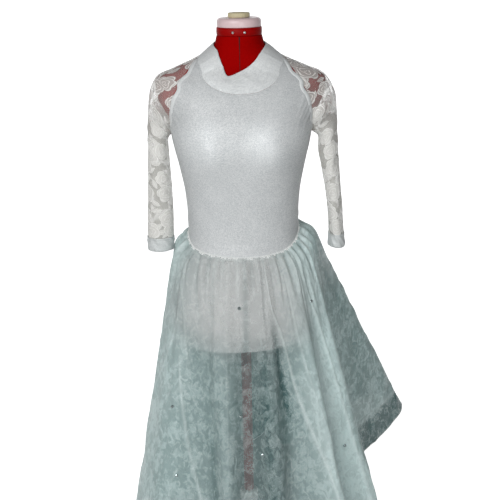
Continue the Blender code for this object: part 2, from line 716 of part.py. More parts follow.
clear_scene()
make_torso()
make_neck_top()
make_stand()
make_bodice()
make_lower_leotard()
make_neckband()
make_sleeve("sleeve_left_of_view", -1)
make_sleeve("sleeve_right_of_view", 1)
make_cuff("cuff_left_of_view", -1)
make_cuff("cuff_right_of_view", 1)
make_skirt()
centre_on_box()
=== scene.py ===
"""The look of a skirted leotard with lace sleeves, worn on a limbless dress form.

Metres, +Z up, the front faces -Y. Angles round the body are in degrees, 0 at the front and
90 towards +X. Shapes are worked out round the pole's axis and then moved to where the
frame's pole stands. Each piece repeats the sizes of the solid that it stands for, on a
finer grid, with the cloth's own folds, edges and finish.
"""

import logging
import math
from dataclasses import dataclass, replace
from enum import Enum
from typing import Optional, Sequence, Union

import bpy
import numpy as np
from mathutils import Matrix, Vector, noise
from mathutils.bvhtree import BVHTree


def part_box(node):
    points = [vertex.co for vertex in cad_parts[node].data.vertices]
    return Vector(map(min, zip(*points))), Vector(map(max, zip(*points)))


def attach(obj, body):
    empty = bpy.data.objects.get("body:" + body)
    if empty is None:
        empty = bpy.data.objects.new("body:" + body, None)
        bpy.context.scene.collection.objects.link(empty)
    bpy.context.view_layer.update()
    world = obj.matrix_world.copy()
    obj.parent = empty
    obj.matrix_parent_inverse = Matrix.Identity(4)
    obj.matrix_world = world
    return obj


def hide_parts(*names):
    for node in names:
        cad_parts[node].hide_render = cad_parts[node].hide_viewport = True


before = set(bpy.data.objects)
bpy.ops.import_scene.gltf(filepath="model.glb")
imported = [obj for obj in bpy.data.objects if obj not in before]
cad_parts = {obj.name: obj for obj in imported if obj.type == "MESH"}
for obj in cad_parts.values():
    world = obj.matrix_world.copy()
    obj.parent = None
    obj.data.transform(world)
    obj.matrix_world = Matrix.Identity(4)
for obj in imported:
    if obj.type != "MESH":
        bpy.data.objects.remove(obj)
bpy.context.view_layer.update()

LOG = logging.getLogger("leotard")
BODY = "root"
UV_NAME = "cloth"

Table = Sequence[Sequence[float]]
Grid = np.ndarray
Piece = bpy.types.Object
Finish = bpy.types.Material
Socket = bpy.types.NodeSocket
Pair = tuple[float, float]
Triple = tuple[float, float, float]
Values = dict[str, Grid]

# Cloth, as the solids have it
FORM_TO_CLOTH = 0.0008
BODICE_WALL = 0.0015
LOWER_WALL = 0.0012
LACE_WALL = 0.0012
BAND_WALL = 0.0022
ORGANZA_WALL = 0.0010

# How far sharp edges of hard parts are eased
EASE = 0.0012
# Faces that meet at more than this are shaded as a hard edge
SHARP_ANGLE = math.radians(50.0)

# The body's level sections: z, half_width, front, back, squareness
BODY_ROWS = (
    (0.712, 0.148, 0.100, 0.116, 2.2),
    (0.745, 0.160, 0.104, 0.124, 2.2),
    (0.815, 0.168, 0.104, 0.127, 2.2),
    (0.880, 0.153, 0.097, 0.110, 2.2),
    (0.925, 0.133, 0.090, 0.093, 2.2),
    (0.965, 0.1245, 0.086, 0.086, 2.2),
    (1.010, 0.1245, 0.087, 0.084, 2.2),
    (1.060, 0.1275, 0.092, 0.086, 2.25),
    (1.120, 0.1375, 0.100, 0.092, 2.3),
    (1.180, 0.1505, 0.106, 0.098, 2.3),
    (1.205, 0.1545, 0.105, 0.100, 2.3),
    (1.228, 0.1590, 0.102, 0.101, 2.35),
    (1.252, 0.1715, 0.096, 0.099, 2.4),
    (1.285, 0.1860, 0.085, 0.092, 2.5),
    (1.309, 0.1880, 0.073, 0.083, 2.5),
    (1.321, 0.1780, 0.066, 0.077, 2.4),
    (1.333, 0.1500, 0.060, 0.071, 2.35),
    (1.346, 0.1200, 0.0565, 0.065, 2.3),
    (1.360, 0.0880, 0.0540, 0.060, 2.2),
    (1.374, 0.0660, 0.0515, 0.0545, 2.1),
    (1.388, 0.0535, 0.0495, 0.0505, 2.0),
    (1.404, 0.0485, 0.0485, 0.0485, 2.0),
)
# How far apart points are taken to find a normal, in degrees and metres
NORMAL_STEPS = (1.5, 0.004)
# A usual distance from the pole to the cloth, which turns angles into distances
BODY_RADIUS = 0.13
BUST_X, BUST_Z = 0.071, 1.176
BUST_PUSH, BUST_SPREAD_X, BUST_SPREAD_Z = 0.020, 0.042, 0.050

# Seam heights round the body, by angle
WAIST_SEAM = (
    (-180, 0.978), (-130, 0.974), (-90, 0.965), (-60, 0.944), (-35, 0.935), (0, 0.930),
    (35, 0.936), (60, 0.950), (76, 0.964), (90, 0.980), (130, 0.982), (180, 0.978),
)
NECK_SEAM = (
    (-180, 1.366), (-120, 1.366), (-90, 1.363), (-68, 1.357), (-37, 1.343), (-21, 1.321),
    (-14, 1.304), (-7, 1.293), (0, 1.289), (7, 1.292), (14, 1.302), (21, 1.319),
    (37, 1.341), (68, 1.355), (90, 1.361), (120, 1.365), (180, 1.366),
)
NECKBAND_TOP = (
    (-180, 1.398), (-90, 1.387), (-48, 1.377), (-31, 1.365), (-14, 1.346), (-5, 1.328),
    (2, 1.338), (12, 1.351), (34, 1.369), (60, 1.380), (90, 1.386), (180, 1.398),
)

# Raglan seams from the neck down to the armpit: distance from the middle, and height
FRONT_RAGLAN = (
    (0.0925, 1.356), (0.103, 1.345), (0.119, 1.325), (0.132, 1.304), (0.143, 1.283),
    (0.1490, 1.260), (0.1520, 1.238), (0.1532, 1.217), (0.1560, 1.199),
)
BACK_RAGLAN = (
    (0.0690, 1.366), (0.084, 1.352), (0.103, 1.331), (0.118, 1.307), (0.131, 1.284),
    (0.1410, 1.260), (0.1480, 1.238), (0.1535, 1.217), (0.1560, 1.199),
)

# The sleeve over the shoulder: outer_z, left_x, right_x, half_depth, hang
YOKE_ROWS = (
    (1.362, 0.090, 0.090, 0.060, 0.0),
    (1.3515, 0.110, 0.110, 0.060, 0.0),
    (1.342, 0.135, 0.135, 0.062, 0.0),
    (1.333, 0.160, 0.160, 0.064, 0.0),
    (1.322, 0.180, 0.180, 0.066, 0.0),
    (1.301, 0.1950, 0.2005, 0.070, 0.6),
    (1.278, 0.1985, 0.2055, 0.064, 1.0),
    (1.257, 0.2015, 0.2085, 0.052, 1.0),
    (1.235, 0.2040, 0.2105, 0.038, 1.0),
)
# The hanging sleeve and cuff: inner_z, outer_z, half_depth, middle_y, then inner and
# outer distance from the middle on the left and on the right
SLEEVE_ROWS = (
    (1.183, 1.205, 0.035, 0.001, 0.1640, 0.2060, 0.1715, 0.2115),
    (1.150, 1.170, 0.033, 0.002, 0.1640, 0.2080, 0.1725, 0.2135),
    (1.110, 1.122, 0.031, 0.004, 0.1630, 0.2110, 0.1805, 0.2175),
    (1.060, 1.066, 0.029, 0.006, 0.1615, 0.2145, 0.1895, 0.2225),
    (1.005, 1.009, 0.027, 0.008, 0.1615, 0.2185, 0.1965, 0.2275),
    (0.953, 0.953, 0.026, 0.010, 0.1635, 0.2220, 0.1995, 0.2325),
)
CUFF_ROWS = (
    (0.953, 0.953, 0.026, 0.010, 0.1635, 0.2220, 0.1995, 0.2325),
    (0.936, 0.937, 0.026, 0.010, 0.1635, 0.2225, 0.1990, 0.2340),
    (0.922, 0.920, 0.026, 0.010, 0.1640, 0.2225, 0.1990, 0.2360),
)

# The skirt: waist_angle, hem_angle, hem_radius, then how pale and how close the organza
# looks along that crest or trough; the paleness is partly painted light and shade
SKIRT_LENGTH = 0.73
SKIRT_FOLDS = (
    (0, 2, 0.215, 0.24, 0.46), (14, 17, 0.268, 0.27, 0.54), (25, 31, 0.232, 0.5, 0.6),
    (38, 45, 0.335, 0.88, 0.78), (50, 58, 0.262, 1.02, 0.82), (63, 73, 0.338, 1.0, 0.84),
    (76, 91, 0.24, 0.74, 0.9), (90, 108, 0.3, 0.6, 0.96), (101, 117, 0.485, 0.46, 0.98),
    (114, 129, 0.478, 0.2, 0.985), (126, 139, 0.39, 0.1, 0.985), (139, 151, 0.215, 0.04, 0.97),
    (153, 165, 0.265, 0.1, 0.95), (168, 178, 0.215, 0.08, 0.95), (184, 192, 0.252, 0.14, 0.95),
    (200, 209, 0.19, 0.12, 0.95), (216, 225, 0.238, 0.2, 0.95), (234, 244, 0.145, 0.24, 0.92),
    (252, 262, 0.155, 0.4, 0.87), (270, 273, 0.262, 0.62, 0.84), (285, 290, 0.302, 0.75, 0.84),
    (303, 314, 0.298, 0.61, 0.79), (322, 334, 0.22, 0.52, 0.68), (342, 349, 0.262, 0.59, 0.62),
)
SKIRT_GORES = (
    "skirt_front", "skirt_side_right_of_view", "skirt_back_right_of_view",
    "skirt_back_left_of_view", "skirt_side_left_of_view",
)


def smooth_read(rows: Table, column: int, at: Grid) -> Grid:
    """Read a table between its rows on a curve that never overshoots.

    Args:
        rows: The table, with its key in column 0 and rising.
        column: The column to read.
        at: The keys wanted.

    Returns:
        The column's value at each key.
    """
    keys = np.array([row[0] for row in rows], float)
    values = np.array([row[column] for row in rows], float)
    slopes = np.diff(values) / np.diff(keys)
    before, after = slopes[:-1], slopes[1:]
    same = before * after > 0.0
    inner = np.where(same, 2.0 * before * after / np.where(same, before + after, 1.0), 0.0)
    tangents = np.concatenate(([slopes[0]], inner, [slopes[-1]]))
    at = np.clip(np.asarray(at, float), keys[0], keys[-1])
    i = np.clip(np.searchsorted(keys, at, side="right") - 1, 0, len(keys) - 2)
    width = keys[i + 1] - keys[i]
    t = (at - keys[i]) / width
    return ((2 * t ** 3 - 3 * t ** 2 + 1) * values[i] + (t ** 3 - 2 * t ** 2 + t) * width * tangents[i]
            + (-2 * t ** 3 + 3 * t ** 2) * values[i + 1] + (t ** 3 - t ** 2) * width * tangents[i + 1])


def smooth_step(low: float, high: float, value: Grid) -> Grid:
    """A soft step from 0 at low to 1 at high."""
    t = np.clip((np.asarray(value, float) - low) / (high - low), 0.0, 1.0)
    return t * t * (3.0 - 2.0 * t)


def lerp(a: Grid, b: Grid, t: Union[float, Grid]) -> Grid:
    """The mix of a and b by t."""
    return a + (b - a) * t


def seam_height(seam: Table, angle: Grid) -> Grid:
    """Height of a seam at angles in degrees, which may lie past a full turn.

    All but the neckband's top, which dips to a point, are eased a little.

    Args:
        seam: The seam's table.
        angle: Angles in degrees.

    Returns:
        The heights.
    """
    eased = ((-5.0, 0.15), (-2.5, 0.2), (0.0, 0.3), (2.5, 0.2), (5.0, 0.15))
    shares = ((0.0, 1.0),) if seam is NECKBAND_TOP else eased
    return sum(share * smooth_read(seam, 1, (np.asarray(angle, float) + step + 180.0) % 360.0 - 180.0)
               for step, share in shares)


def curve(points: Sequence[Grid], t: Union[float, Grid]) -> Grid:
    """The place from the second of four points, at 0, to the third, at 1, on a smooth curve."""
    a, b, c, d = points
    return 0.5 * (2 * b + (c - a) * t + (2 * a - 5 * b + 4 * c - d) * t ** 2
                  + (3 * b - a - 3 * c + d) * t ** 3)


def unit(vectors: Grid) -> Grid:
    """The vectors at length 1."""
    return vectors / np.maximum(np.linalg.norm(vectors, axis=-1, keepdims=True), 1e-9)


def noise_field(points: Grid, scale: Sequence[float], seed: float) -> Grid:
    """Soft noise at points, from about -1 to 1.

    Args:
        points: Places, with x, y, z last.
        scale: Size of the noise's grains along x, y and z.
        seed: A shift that gives another noise.

    Returns:
        The noise at each place.
    """
    flat = (points / np.array(scale)).reshape(-1, 3)
    values = [noise.noise((x + seed, y, z)) for x, y, z in flat]
    return np.array(values).reshape(points.shape[:-1])


class Body:
    """The general figure that the form and the cloth follow."""

    @staticmethod
    def size(z: Grid) -> list[Grid]:
        """Half width, front, back and squareness at heights."""
        return [smooth_read(BODY_ROWS, column, z) for column in range(1, 5)]

    @classmethod
    def surface(cls, angle: Grid, z: Grid) -> Grid:
        """Points of the body at angles and heights.

        Args:
            angle: Angles in degrees.
            z: Heights.

        Returns:
            The points.
        """
        angle, z = np.broadcast_arrays(np.asarray(angle, float), np.asarray(z, float))
        half_width, front, back, squareness = cls.size(z)
        turn = np.radians(angle)
        sine, cosine = np.sin(turn), np.cos(turn)
        power = 2.0 / squareness
        x = half_width * np.sign(sine) * np.abs(sine) ** power
        y = -np.where(cosine > 0.0, front, back) * np.sign(cosine) * np.abs(cosine) ** power
        across = (np.abs(x) - BUST_X) / BUST_SPREAD_X
        up = (z - BUST_Z) / BUST_SPREAD_Z
        y = y - BUST_PUSH * np.exp(-across ** 2 - up ** 2) * smooth_step(0.0, 0.5, cosine)
        return np.stack((x, y, z), axis=-1)

    @classmethod
    def normal(cls, angle: Grid, z: Grid) -> Grid:
        """Outward normals of the body at angles and heights.

        Args:
            angle: Angles in degrees.
            z: Heights.

        Returns:
            Unit normals.
        """
        turn, rise = NORMAL_STEPS
        z = np.clip(z, BODY_ROWS[0][0] + rise, BODY_ROWS[-1][0] - rise)
        around = cls.surface(angle + turn, z) - cls.surface(angle - turn, z)
        up = cls.surface(angle, z + rise) - cls.surface(angle, z - rise)
        return unit(np.cross(around, up))

    @classmethod
    def off(cls, angle: Grid, z: Grid, away: Union[float, Grid]) -> Grid:
        """Points off the body by the distance away."""
        angle, z = np.broadcast_arrays(np.asarray(angle, float), np.asarray(z, float))
        return cls.surface(angle, z) + cls.normal(angle, z) * np.asarray(away)[..., None]

    @classmethod
    def angle_of(cls, x: Grid, z: Grid) -> Grid:
        """The front angle at which the body is x wide of its middle.

        Args:
            x: Distances from the middle.
            z: Heights.

        Returns:
            The angles in degrees.
        """
        half_width, _front, _back, squareness = cls.size(z)
        share = np.minimum(np.abs(x) / half_width, 1.0)
        return np.degrees(np.arcsin(share ** (squareness / 2.0)))

    @classmethod
    def radius(cls, direction: Grid, z: Grid) -> Grid:
        """Distance from the pole to the body in level directions, none below its edge.

        Args:
            direction: Level unit vectors.
            z: Heights.

        Returns:
            The distances.
        """
        low = BODY_ROWS[0][0]
        half_width, front, back, squareness = cls.size(np.maximum(z, low))
        depth = np.where(direction[..., 1] < 0.0, front, back)
        share = ((np.abs(direction[..., 0]) / half_width) ** squareness
                 + (np.abs(direction[..., 1]) / depth) ** squareness)
        return share ** (-1.0 / squareness) * smooth_step(low - 0.14, low - 0.01, z)


def placed(name: str, data: Optional[bpy.types.ID]) -> Piece:
    """A new object in the scene that shows a mesh, a light or a camera."""
    made = bpy.data.objects.new(name, data)
    bpy.context.scene.collection.objects.link(made)
    return made


@dataclass
class Maker:
    """Turns grids of points into pieces that stand where the frame's pole does."""

    pole: Vector
    triangles: int = 0

    @classmethod
    def at_the_pole(cls) -> "Maker":
        """A maker whose axis is the frame's pole."""
        low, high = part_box("stand_pole")
        return cls(Vector(((low[0] + high[0]) / 2, (low[1] + high[1]) / 2, 0.0)))

    def piece(self, name: str, points: Grid, faces: list[tuple[int, ...]],
              finish: Finish, slot: str,
              cloth_places: Optional[Grid] = None,
              values: Optional[Values] = None) -> Piece:
        """Make one piece of the object, in place and riding on the body.

        Args:
            name: The piece's name.
            points: Its vertices round the pole, one a row.
            faces: Its faces, as places in points.
            finish: Its material.
            slot: The record's material slot; not used.
            cloth_places: Where each face corner lies on the flat cloth, in metres.
            values: Numbers for each vertex that the material reads, by name.

        Returns:
            The piece.
        """
        data = bpy.data.meshes.new(name)
        data.from_pydata((points + np.array(self.pole)).tolist(), [], faces)
        if cloth_places is not None:
            data.uv_layers.new(name=UV_NAME).data.foreach_set("uv", cloth_places.ravel())
        for title, numbers in (values or {}).items():
            data.attributes.new(title, "FLOAT", "POINT").data.foreach_set("value", numbers.ravel())
        data.materials.append(finish)
        data.shade_smooth()
        made = placed(name, data)
        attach(made, BODY)
        self.triangles += sum(len(face) - 2 for face in faces)
        LOG.info("%s: %d points, %d faces", name, len(points), len(faces))
        return made

    def cloth(self, name: str, grid: Grid, flat: Grid, finish: Finish,
              slot: str, ring: bool = False,
              values: Optional[Values] = None) -> Piece:
        """Make a thin sheet of cloth from rows of points.

        Args:
            name: The piece's name.
            grid: Points, rows by columns by 3, so that the outer side faces out.
            flat: The same grid's places on the flat cloth, one column more on a ring.
            finish: Its material.
            slot: The record's material slot.
            ring: Whether the last column joins the first.
            values: Numbers for each point that the material reads, by name.

        Returns:
            The sheet.
        """
        rows, columns = grid.shape[:2]
        spans = columns if ring else columns - 1
        i, j = (place.ravel() for place in np.mgrid[0:rows - 1, 0:spans])
        after = (j + 1) % columns
        faces = np.stack((i * columns + j, i * columns + after,
                          (i + 1) * columns + after, (i + 1) * columns + j), axis=-1)
        corners = np.stack((flat[i, j], flat[i, j + 1], flat[i + 1, j + 1], flat[i + 1, j]), axis=1)
        return self.piece(name, grid.reshape(-1, 3), faces.tolist(), finish, slot,
                          corners.astype(np.float32), values)

    def turned(self, name: str, profile: Sequence[Pair],
               finish: Finish, slot: str, sides: int = 72,
               centre: Sequence[float] = (0.0, 0.0)) -> Piece:
        """Make a closed round piece from a profile of radius and height, from below.

        Args:
            name: The piece's name.
            profile: Radius and height of each ring, from below.
            finish: Its material.
            slot: The record's material slot.
            sides: Corners of each ring.
            centre: Where its axis stands, x and y.

        Returns:
            The piece.
        """
        turns = np.arange(sides) * 2 * math.pi / sides
        rings = [np.stack((centre[0] + radius * np.cos(turns), centre[1] + radius * np.sin(turns),
                           np.full(sides, z)), axis=-1) for radius, z in profile]
        return self.tube(name, np.array(rings), finish, slot)

    def tube(self, name: str, rings: Grid, finish: Finish, slot: str,
             capped: bool = True) -> Piece:
        """Make a piece of rings of points, closed at both ends or joined end to end.

        Args:
            name: The piece's name.
            rings: Points, rings by sides by 3.
            finish: Its material.
            slot: The record's material slot.
            capped: Whether both ends are closed.

        Returns:
            The piece.
        """
        count, sides = rings.shape[:2]
        last = count - 1 if capped else count
        faces = [(i * sides + j, i * sides + (j + 1) % sides,
                  (i + 1) % count * sides + (j + 1) % sides, (i + 1) % count * sides + j)
                 for i in range(last) for j in range(sides)]
        if capped:
            faces.append(tuple(reversed(range(sides))))
            faces.append(tuple((count - 1) * sides + j for j in range(sides)))
        made = self.piece(name, rings.reshape(-1, 3), faces, finish, slot)
        made.data.set_sharp_from_angle(angle=SHARP_ANGLE)
        return made


@dataclass
class Assembly:
    """A part of the object, with the maker and the finishes that it uses."""

    maker: Maker
    looks: dict[str, Finish]


def grid_normals(grid: Grid, ring: bool = False) -> Grid:
    """Outward normals of rows of points that run anticlockwise, from below.

    Args:
        grid: Points, rows by columns by 3.
        ring: Whether the last column joins the first.

    Returns:
        Unit normals.
    """
    if ring:
        around = np.roll(grid, -1, axis=1) - np.roll(grid, 1, axis=1)
    else:
        around = np.gradient(grid, axis=1)
    return unit(np.cross(around, np.gradient(grid, axis=0)))


def lengths_along(grid: Grid, axis: int) -> Grid:
    """How far each point is from the first one of its row or column, along the cloth.

    Args:
        grid: Points, rows by columns by 3.
        axis: 0 along the columns, 1 along the rows.

    Returns:
        The lengths in metres.
    """
    steps = np.linalg.norm(np.diff(grid, axis=axis), axis=-1)
    padding = [(0, 0), (0, 0)]
    padding[axis] = (1, 0)
    return np.pad(np.cumsum(steps, axis=axis), padding)


def flat_sheet(grid: Grid) -> Grid:
    """Places of a sheet's points on the flat cloth, in metres."""
    return np.stack((lengths_along(grid, 1), lengths_along(grid, 0)), axis=-1)


def flat_ring(grid: Grid, length: float) -> Grid:
    """Places of a ring's points on the flat cloth, its first column again at the end.

    Args:
        grid: Points, rows by columns by 3.
        length: How long the flat cloth is round the ring.

    Returns:
        The places, one column more than the ring.
    """
    around = np.linspace(0.0, length, grid.shape[1] + 1)[None, :].repeat(len(grid), 0)
    up = lengths_along(grid, 0)[:, :1].repeat(grid.shape[1] + 1, 1)
    return np.stack((around, up), axis=-1)


def rim(radius: float, high: float, soft: float, turns: Grid) -> list[Pair]:
    """Radius and height of the points round a quarter of a rounded edge."""
    return [(radius - soft * (1 - math.cos(turn)), high - soft * (1 - math.sin(turn)))
            for turn in turns]


def pipe_rings(path: Grid, radius: float, sides: int, closed: bool) -> Grid:
    """Rings of a round cord along a path.

    Args:
        path: Points along the cord's middle.
        radius: The cord's radius.
        sides: Corners of each ring.
        closed: Whether the path ends at its start.

    Returns:
        The rings.
    """
    if closed:
        along = unit(np.roll(path, -1, axis=0) - np.roll(path, 1, axis=0))
    else:
        along = unit(np.gradient(path, axis=0))
    out = unit(np.cross(along, (0.0, 0.0, 1.0)))
    up = np.cross(out, along)
    turns = np.arange(sides) * 2 * math.pi / sides
    return (path[:, None] + radius * (out[:, None] * np.cos(turns)[None, :, None]
                                      + up[:, None] * np.sin(turns)[None, :, None]))


@dataclass(frozen=True)
class Crease:
    """A soft ridge in cloth, or a trough where its depth is negative.

    Its place is an angle on the body, and a share of the way round on a sleeve.
    """

    place: float
    z: float
    lean: float
    length: float
    width: float
    depth: float

    def rise(self, around: Grid, up: Grid) -> Grid:
        """The crease's height at places near it.

        Args:
            around: Distances round the cloth from the crease's middle, in metres.
            up: Distances up from it.

        Returns:
            How far the cloth stands out, in metres.
        """
        turn = math.radians(self.lean)
        along = up * math.cos(turn) + around * math.sin(turn)
        across = around * math.cos(turn) - up * math.sin(turn)
        return self.depth * np.exp(-(along / self.length) ** 2 - (across / self.width) ** 2)


def creased(creases: Sequence[Crease], angle: Grid, z: Grid) -> Grid:
    """The rise of all the creases together on the body, as if it were a round tube."""
    angle, z = np.broadcast_arrays(angle, z)
    return sum((crease.rise(np.radians(angle - crease.place) * BODY_RADIUS, z - crease.z)
                for crease in creases), np.zeros(angle.shape))


def panel_side(table: Table, level: Grid, side: int) -> tuple[Grid, Grid]:
    """Angle and height of a bodice panel's edge.

    Args:
        table: The raglan seam.
        level: From 0 at the waist by 1 at the armpit to 2 at the neck.
        side: 1 towards +X, -1 towards -X.

    Returns:
        The angles and the heights.
    """
    rows = [(index, *row) for index, row in enumerate(reversed(table))]
    last = len(rows) - 1
    angles = [float(Body.angle_of(x, z)) if index else 90.0 for index, x, z in rows]
    if table is BACK_RAGLAN:
        angles = [180.0 - angle for angle in angles]
    seam = [(index, angle, row[2]) for (index, angle), row in zip(enumerate(angles), rows)]
    place = np.clip(level - 1.0, 0.0, 1.0) * last
    low = seam_height(WAIST_SEAM, np.array(side * 90.0))
    z_side = lerp(low, table[-1][1], np.clip(level, 0.0, 1.0))
    above = level > 1.0
    return (side * np.where(above, smooth_read(seam, 1, place), 90.0),
            np.where(above, smooth_read(seam, 2, place), z_side))


class Wire:
    """A number that varies over a surface. Python's operators add Math nodes."""

    def __init__(self, graph: "Graph", socket: Socket) -> None:
        """Wrap an output socket."""
        self.graph = graph
        self.socket = socket

    def maths(self, operation: str, first: "Number", second: "Number" = 0.0) -> "Wire":
        """The result of one Math node."""
        return self.graph.wire("ShaderNodeMath", {"operation": operation}, {0: first, 1: second})

    def __add__(self, other: "Number") -> "Wire":
        """Sum."""
        return self.maths("ADD", self, other)

    __radd__ = __add__

    def __sub__(self, other: "Number") -> "Wire":
        """Difference."""
        return self.maths("SUBTRACT", self, other)

    def __rsub__(self, other: "Number") -> "Wire":
        """Difference, from a number."""
        return self.maths("SUBTRACT", other, self)

    def __mul__(self, other: "Number") -> "Wire":
        """Product."""
        return self.maths("MULTIPLY", self, other)

    __rmul__ = __mul__

    def __truediv__(self, other: "Number") -> "Wire":
        """Quotient."""
        return self.maths("DIVIDE", self, other)

    def __pow__(self, other: "Number") -> "Wire":
        """Power."""
        return self.maths("POWER", self, other)

    def __abs__(self) -> "Wire":
        """Size without sign."""
        return self.maths("ABSOLUTE", self)

    def sine(self) -> "Wire":
        """Sine of an angle in radians."""
        return self.maths("SINE", self)

    def root(self) -> "Wire":
        """Square root."""
        return self.maths("SQRT", self)

    def fraction(self) -> "Wire":
        """What is left past the whole number below."""
        return self.maths("FRACT", self)

    def least(self, other: "Number") -> "Wire":
        """The lower of the two."""
        return self.maths("MINIMUM", self, other)

    def most(self, other: "Number") -> "Wire":
        """The higher of the two."""
        return self.maths("MAXIMUM", self, other)

    def step(self, low: float, high: float) -> "Wire":
        """A soft step, 0 at low and 1 at high, which may lie the other way round."""
        return self.graph.wire("ShaderNodeMapRange", {"interpolation_type": "SMOOTHSTEP"},
                               {0: self, 1: low, 2: high, 3: 0.0, 4: 1.0})


Number = Union[float, Wire]
Colour = Union[Sequence[float], Socket]


class Graph:
    """A new material's nodes, with one Principled surface."""

    def __init__(self, name: str, **constants: Union[float, Sequence[float]]) -> None:
        """Start a material.

        Args:
            name: The material's name.
            constants: Numbers and colours for the surface's own sockets, the sockets'
                names in lower case with low lines for spaces.
        """
        self.material = bpy.data.materials.new(name)
        self.material.use_nodes = True
        self.tree = self.material.node_tree
        self.shader = self.tree.nodes["Principled BSDF"]
        for title, value in constants.items():
            self.socket(title).default_value = self.full(value)

    @staticmethod
    def full(value: Union[float, Sequence[float]]) -> Union[float, tuple[float, ...]]:
        """A colour with its fourth number, or the number as it is."""
        return (*value, 1.0) if isinstance(value, tuple) and len(value) == 3 else value

    def socket(self, title: str) -> Socket:
        """The surface's socket of that name."""
        wanted = title.replace("_", " ").lower()
        return next(socket for socket in self.shader.inputs if socket.name.lower() == wanted)

    def node(self, kind: str, settings: Optional[dict[str, object]] = None,
             inputs: Optional[dict[Union[int, str], object]] = None) -> bpy.types.Node:
        """Add a node.

        Args:
            kind: The node's type.
            settings: Its properties, set first.
            inputs: Values or links for its sockets, by place or name.

        Returns:
            The node.
        """
        made = self.tree.nodes.new(kind)
        for title, value in (settings or {}).items():
            setattr(made, title, value)
        for title, value in (inputs or {}).items():
            if isinstance(value, Wire):
                value = value.socket
            if isinstance(value, Socket):
                self.tree.links.new(value, made.inputs[title])
            else:
                made.inputs[title].default_value = value
        return made

    def wire(self, kind: str, settings: Optional[dict[str, object]] = None,
             inputs: Optional[dict[Union[int, str], object]] = None,
             output: Union[int, str] = 0) -> Wire:
        """Add a node and take one of its numbers."""
        return Wire(self, self.node(kind, settings, inputs).outputs[output])

    def link(self, **sockets: Union[Wire, Socket]) -> None:
        """Feed sockets of the surface with what varies.

        Args:
            sockets: What feeds each socket, by the socket's name.
        """
        for title, value in sockets.items():
            source = value.socket if isinstance(value, Wire) else value
            self.tree.links.new(source, self.socket(title))

    def cloth_place(self) -> Socket:
        """Place on the flat cloth, in metres."""
        return self.node("ShaderNodeUVMap", {"uv_map": UV_NAME}).outputs[0]

    def solid_place(self) -> Socket:
        """Place in the solid, in metres."""
        return self.node("ShaderNodeTexCoord").outputs["Object"]

    def stretched(self, place: Socket, scale: Sequence[float],
                  shift: Sequence[float] = (0.0, 0.0, 0.0)) -> Socket:
        """A place scaled and shifted along each axis."""
        return self.node("ShaderNodeVectorMath", {"operation": "MULTIPLY_ADD"},
                         {0: place, 1: tuple(scale), 2: tuple(shift)}).outputs[0]

    def parts(self, place: Socket) -> tuple[Wire, Wire, Wire]:
        """The three numbers of a place."""
        split = self.node("ShaderNodeSeparateXYZ", None, {0: place})
        return tuple(Wire(self, socket) for socket in split.outputs)

    def vertex(self, title: str) -> Wire:
        """A number that the mesh holds for each point."""
        return self.wire("ShaderNodeAttribute", {"attribute_name": title}, None, "Fac")

    def noise(self, place: Socket, grain: float, detail: float = 2.0,
              warp: float = 0.0) -> Wire:
        """Soft noise from 0 to 1 with grains of that size in metres.

        Args:
            place: Where it is read.
            grain: Size of its grains, in metres.
            detail: How many finer noises are added.
            warp: How far it is bent.

        Returns:
            The noise.
        """
        return self.wire("ShaderNodeTexNoise", None,
                         {"Vector": place, "Scale": 1.0 / grain, "Detail": detail,
                          "Distortion": warp})

    def flecks(self, place: Socket, grain: float) -> Wire:
        """A random number for each small cell."""
        cell = self.node("ShaderNodeTexVoronoi", None, {"Vector": place, "Scale": 1.0 / grain})
        return self.wire("ShaderNodeSeparateColor", None, {0: cell.outputs["Color"]})

    def mix(self, first: Colour, second: Colour, share: Number) -> Socket:
        """A colour between two, by a share from 0 to 1."""
        return self.node("ShaderNodeMix", {"data_type": "RGBA"},
                         {0: share, 6: self.colour(first), 7: self.colour(second)}).outputs[2]

    @staticmethod
    def colour(value: Colour) -> Union[Socket, tuple[float, ...]]:
        """A colour ready for a socket."""
        return value if isinstance(value, Socket) else (*value[:3], 1.0)

    def bump(self, height: Wire, distance: float, strength: float = 1.0) -> Socket:
        """The surface's normal over small bumps, distance metres high."""
        return self.node("ShaderNodeBump", None, {"Height": height, "Distance": distance,
                                                  "Strength": strength}).outputs[0]


@dataclass(frozen=True)
class ShimmerStretch:
    """White two-way stretch knit under a fine silver glitter, with painted highlight and shade."""

    name: str
    pale: Triple = (0.93, 0.94, 0.94)
    grey: Triple = (0.56, 0.59, 0.605)
    fleck: float = 0.0011
    rib: float = 0.0011
    metallic: float = 0.1
    # How dark the painted shade makes the knit, as a share of its tones
    painted_shade_factor: float = 1.0

    def build(self) -> Finish:
        """Make the material.

        Returns:
            The material.
        """
        graph = Graph(self.name, specular_ior_level=0.42)
        place = graph.cloth_place()
        across, _up, _ = graph.parts(place)
        fine = graph.flecks(place, self.fleck)
        coarse = graph.flecks(place, self.fleck * 2.1)
        cloud = graph.noise(place, 0.055, 2.0)
        shine = (fine * 0.52 + coarse * 0.18 + cloud * 0.26 + 0.06).step(0.1, 1.05)
        # Painted light: a lit copy and a painted shade copy of the tones, mixed by each point's share
        full = graph.mix(self.grey, self.pale, shine)
        dull = graph.mix(tuple(part * self.painted_shade_factor for part in self.grey),
                         tuple(part * self.painted_shade_factor for part in self.pale), shine)
        graph.link(base_color=graph.mix(dull, full, graph.vertex("stretch")))
        sparkle = fine.step(0.84, 0.98)
        graph.link(metallic=sparkle * 0.45 + self.metallic,
                   roughness=0.66 - sparkle * 0.16 + coarse * 0.06)
        rib = (across * (2 * math.pi / self.rib)).sine() * 0.5
        graph.link(normal=graph.bump(rib * 0.1 + fine + coarse * 0.3, 0.00005, 0.45))
        return graph.material


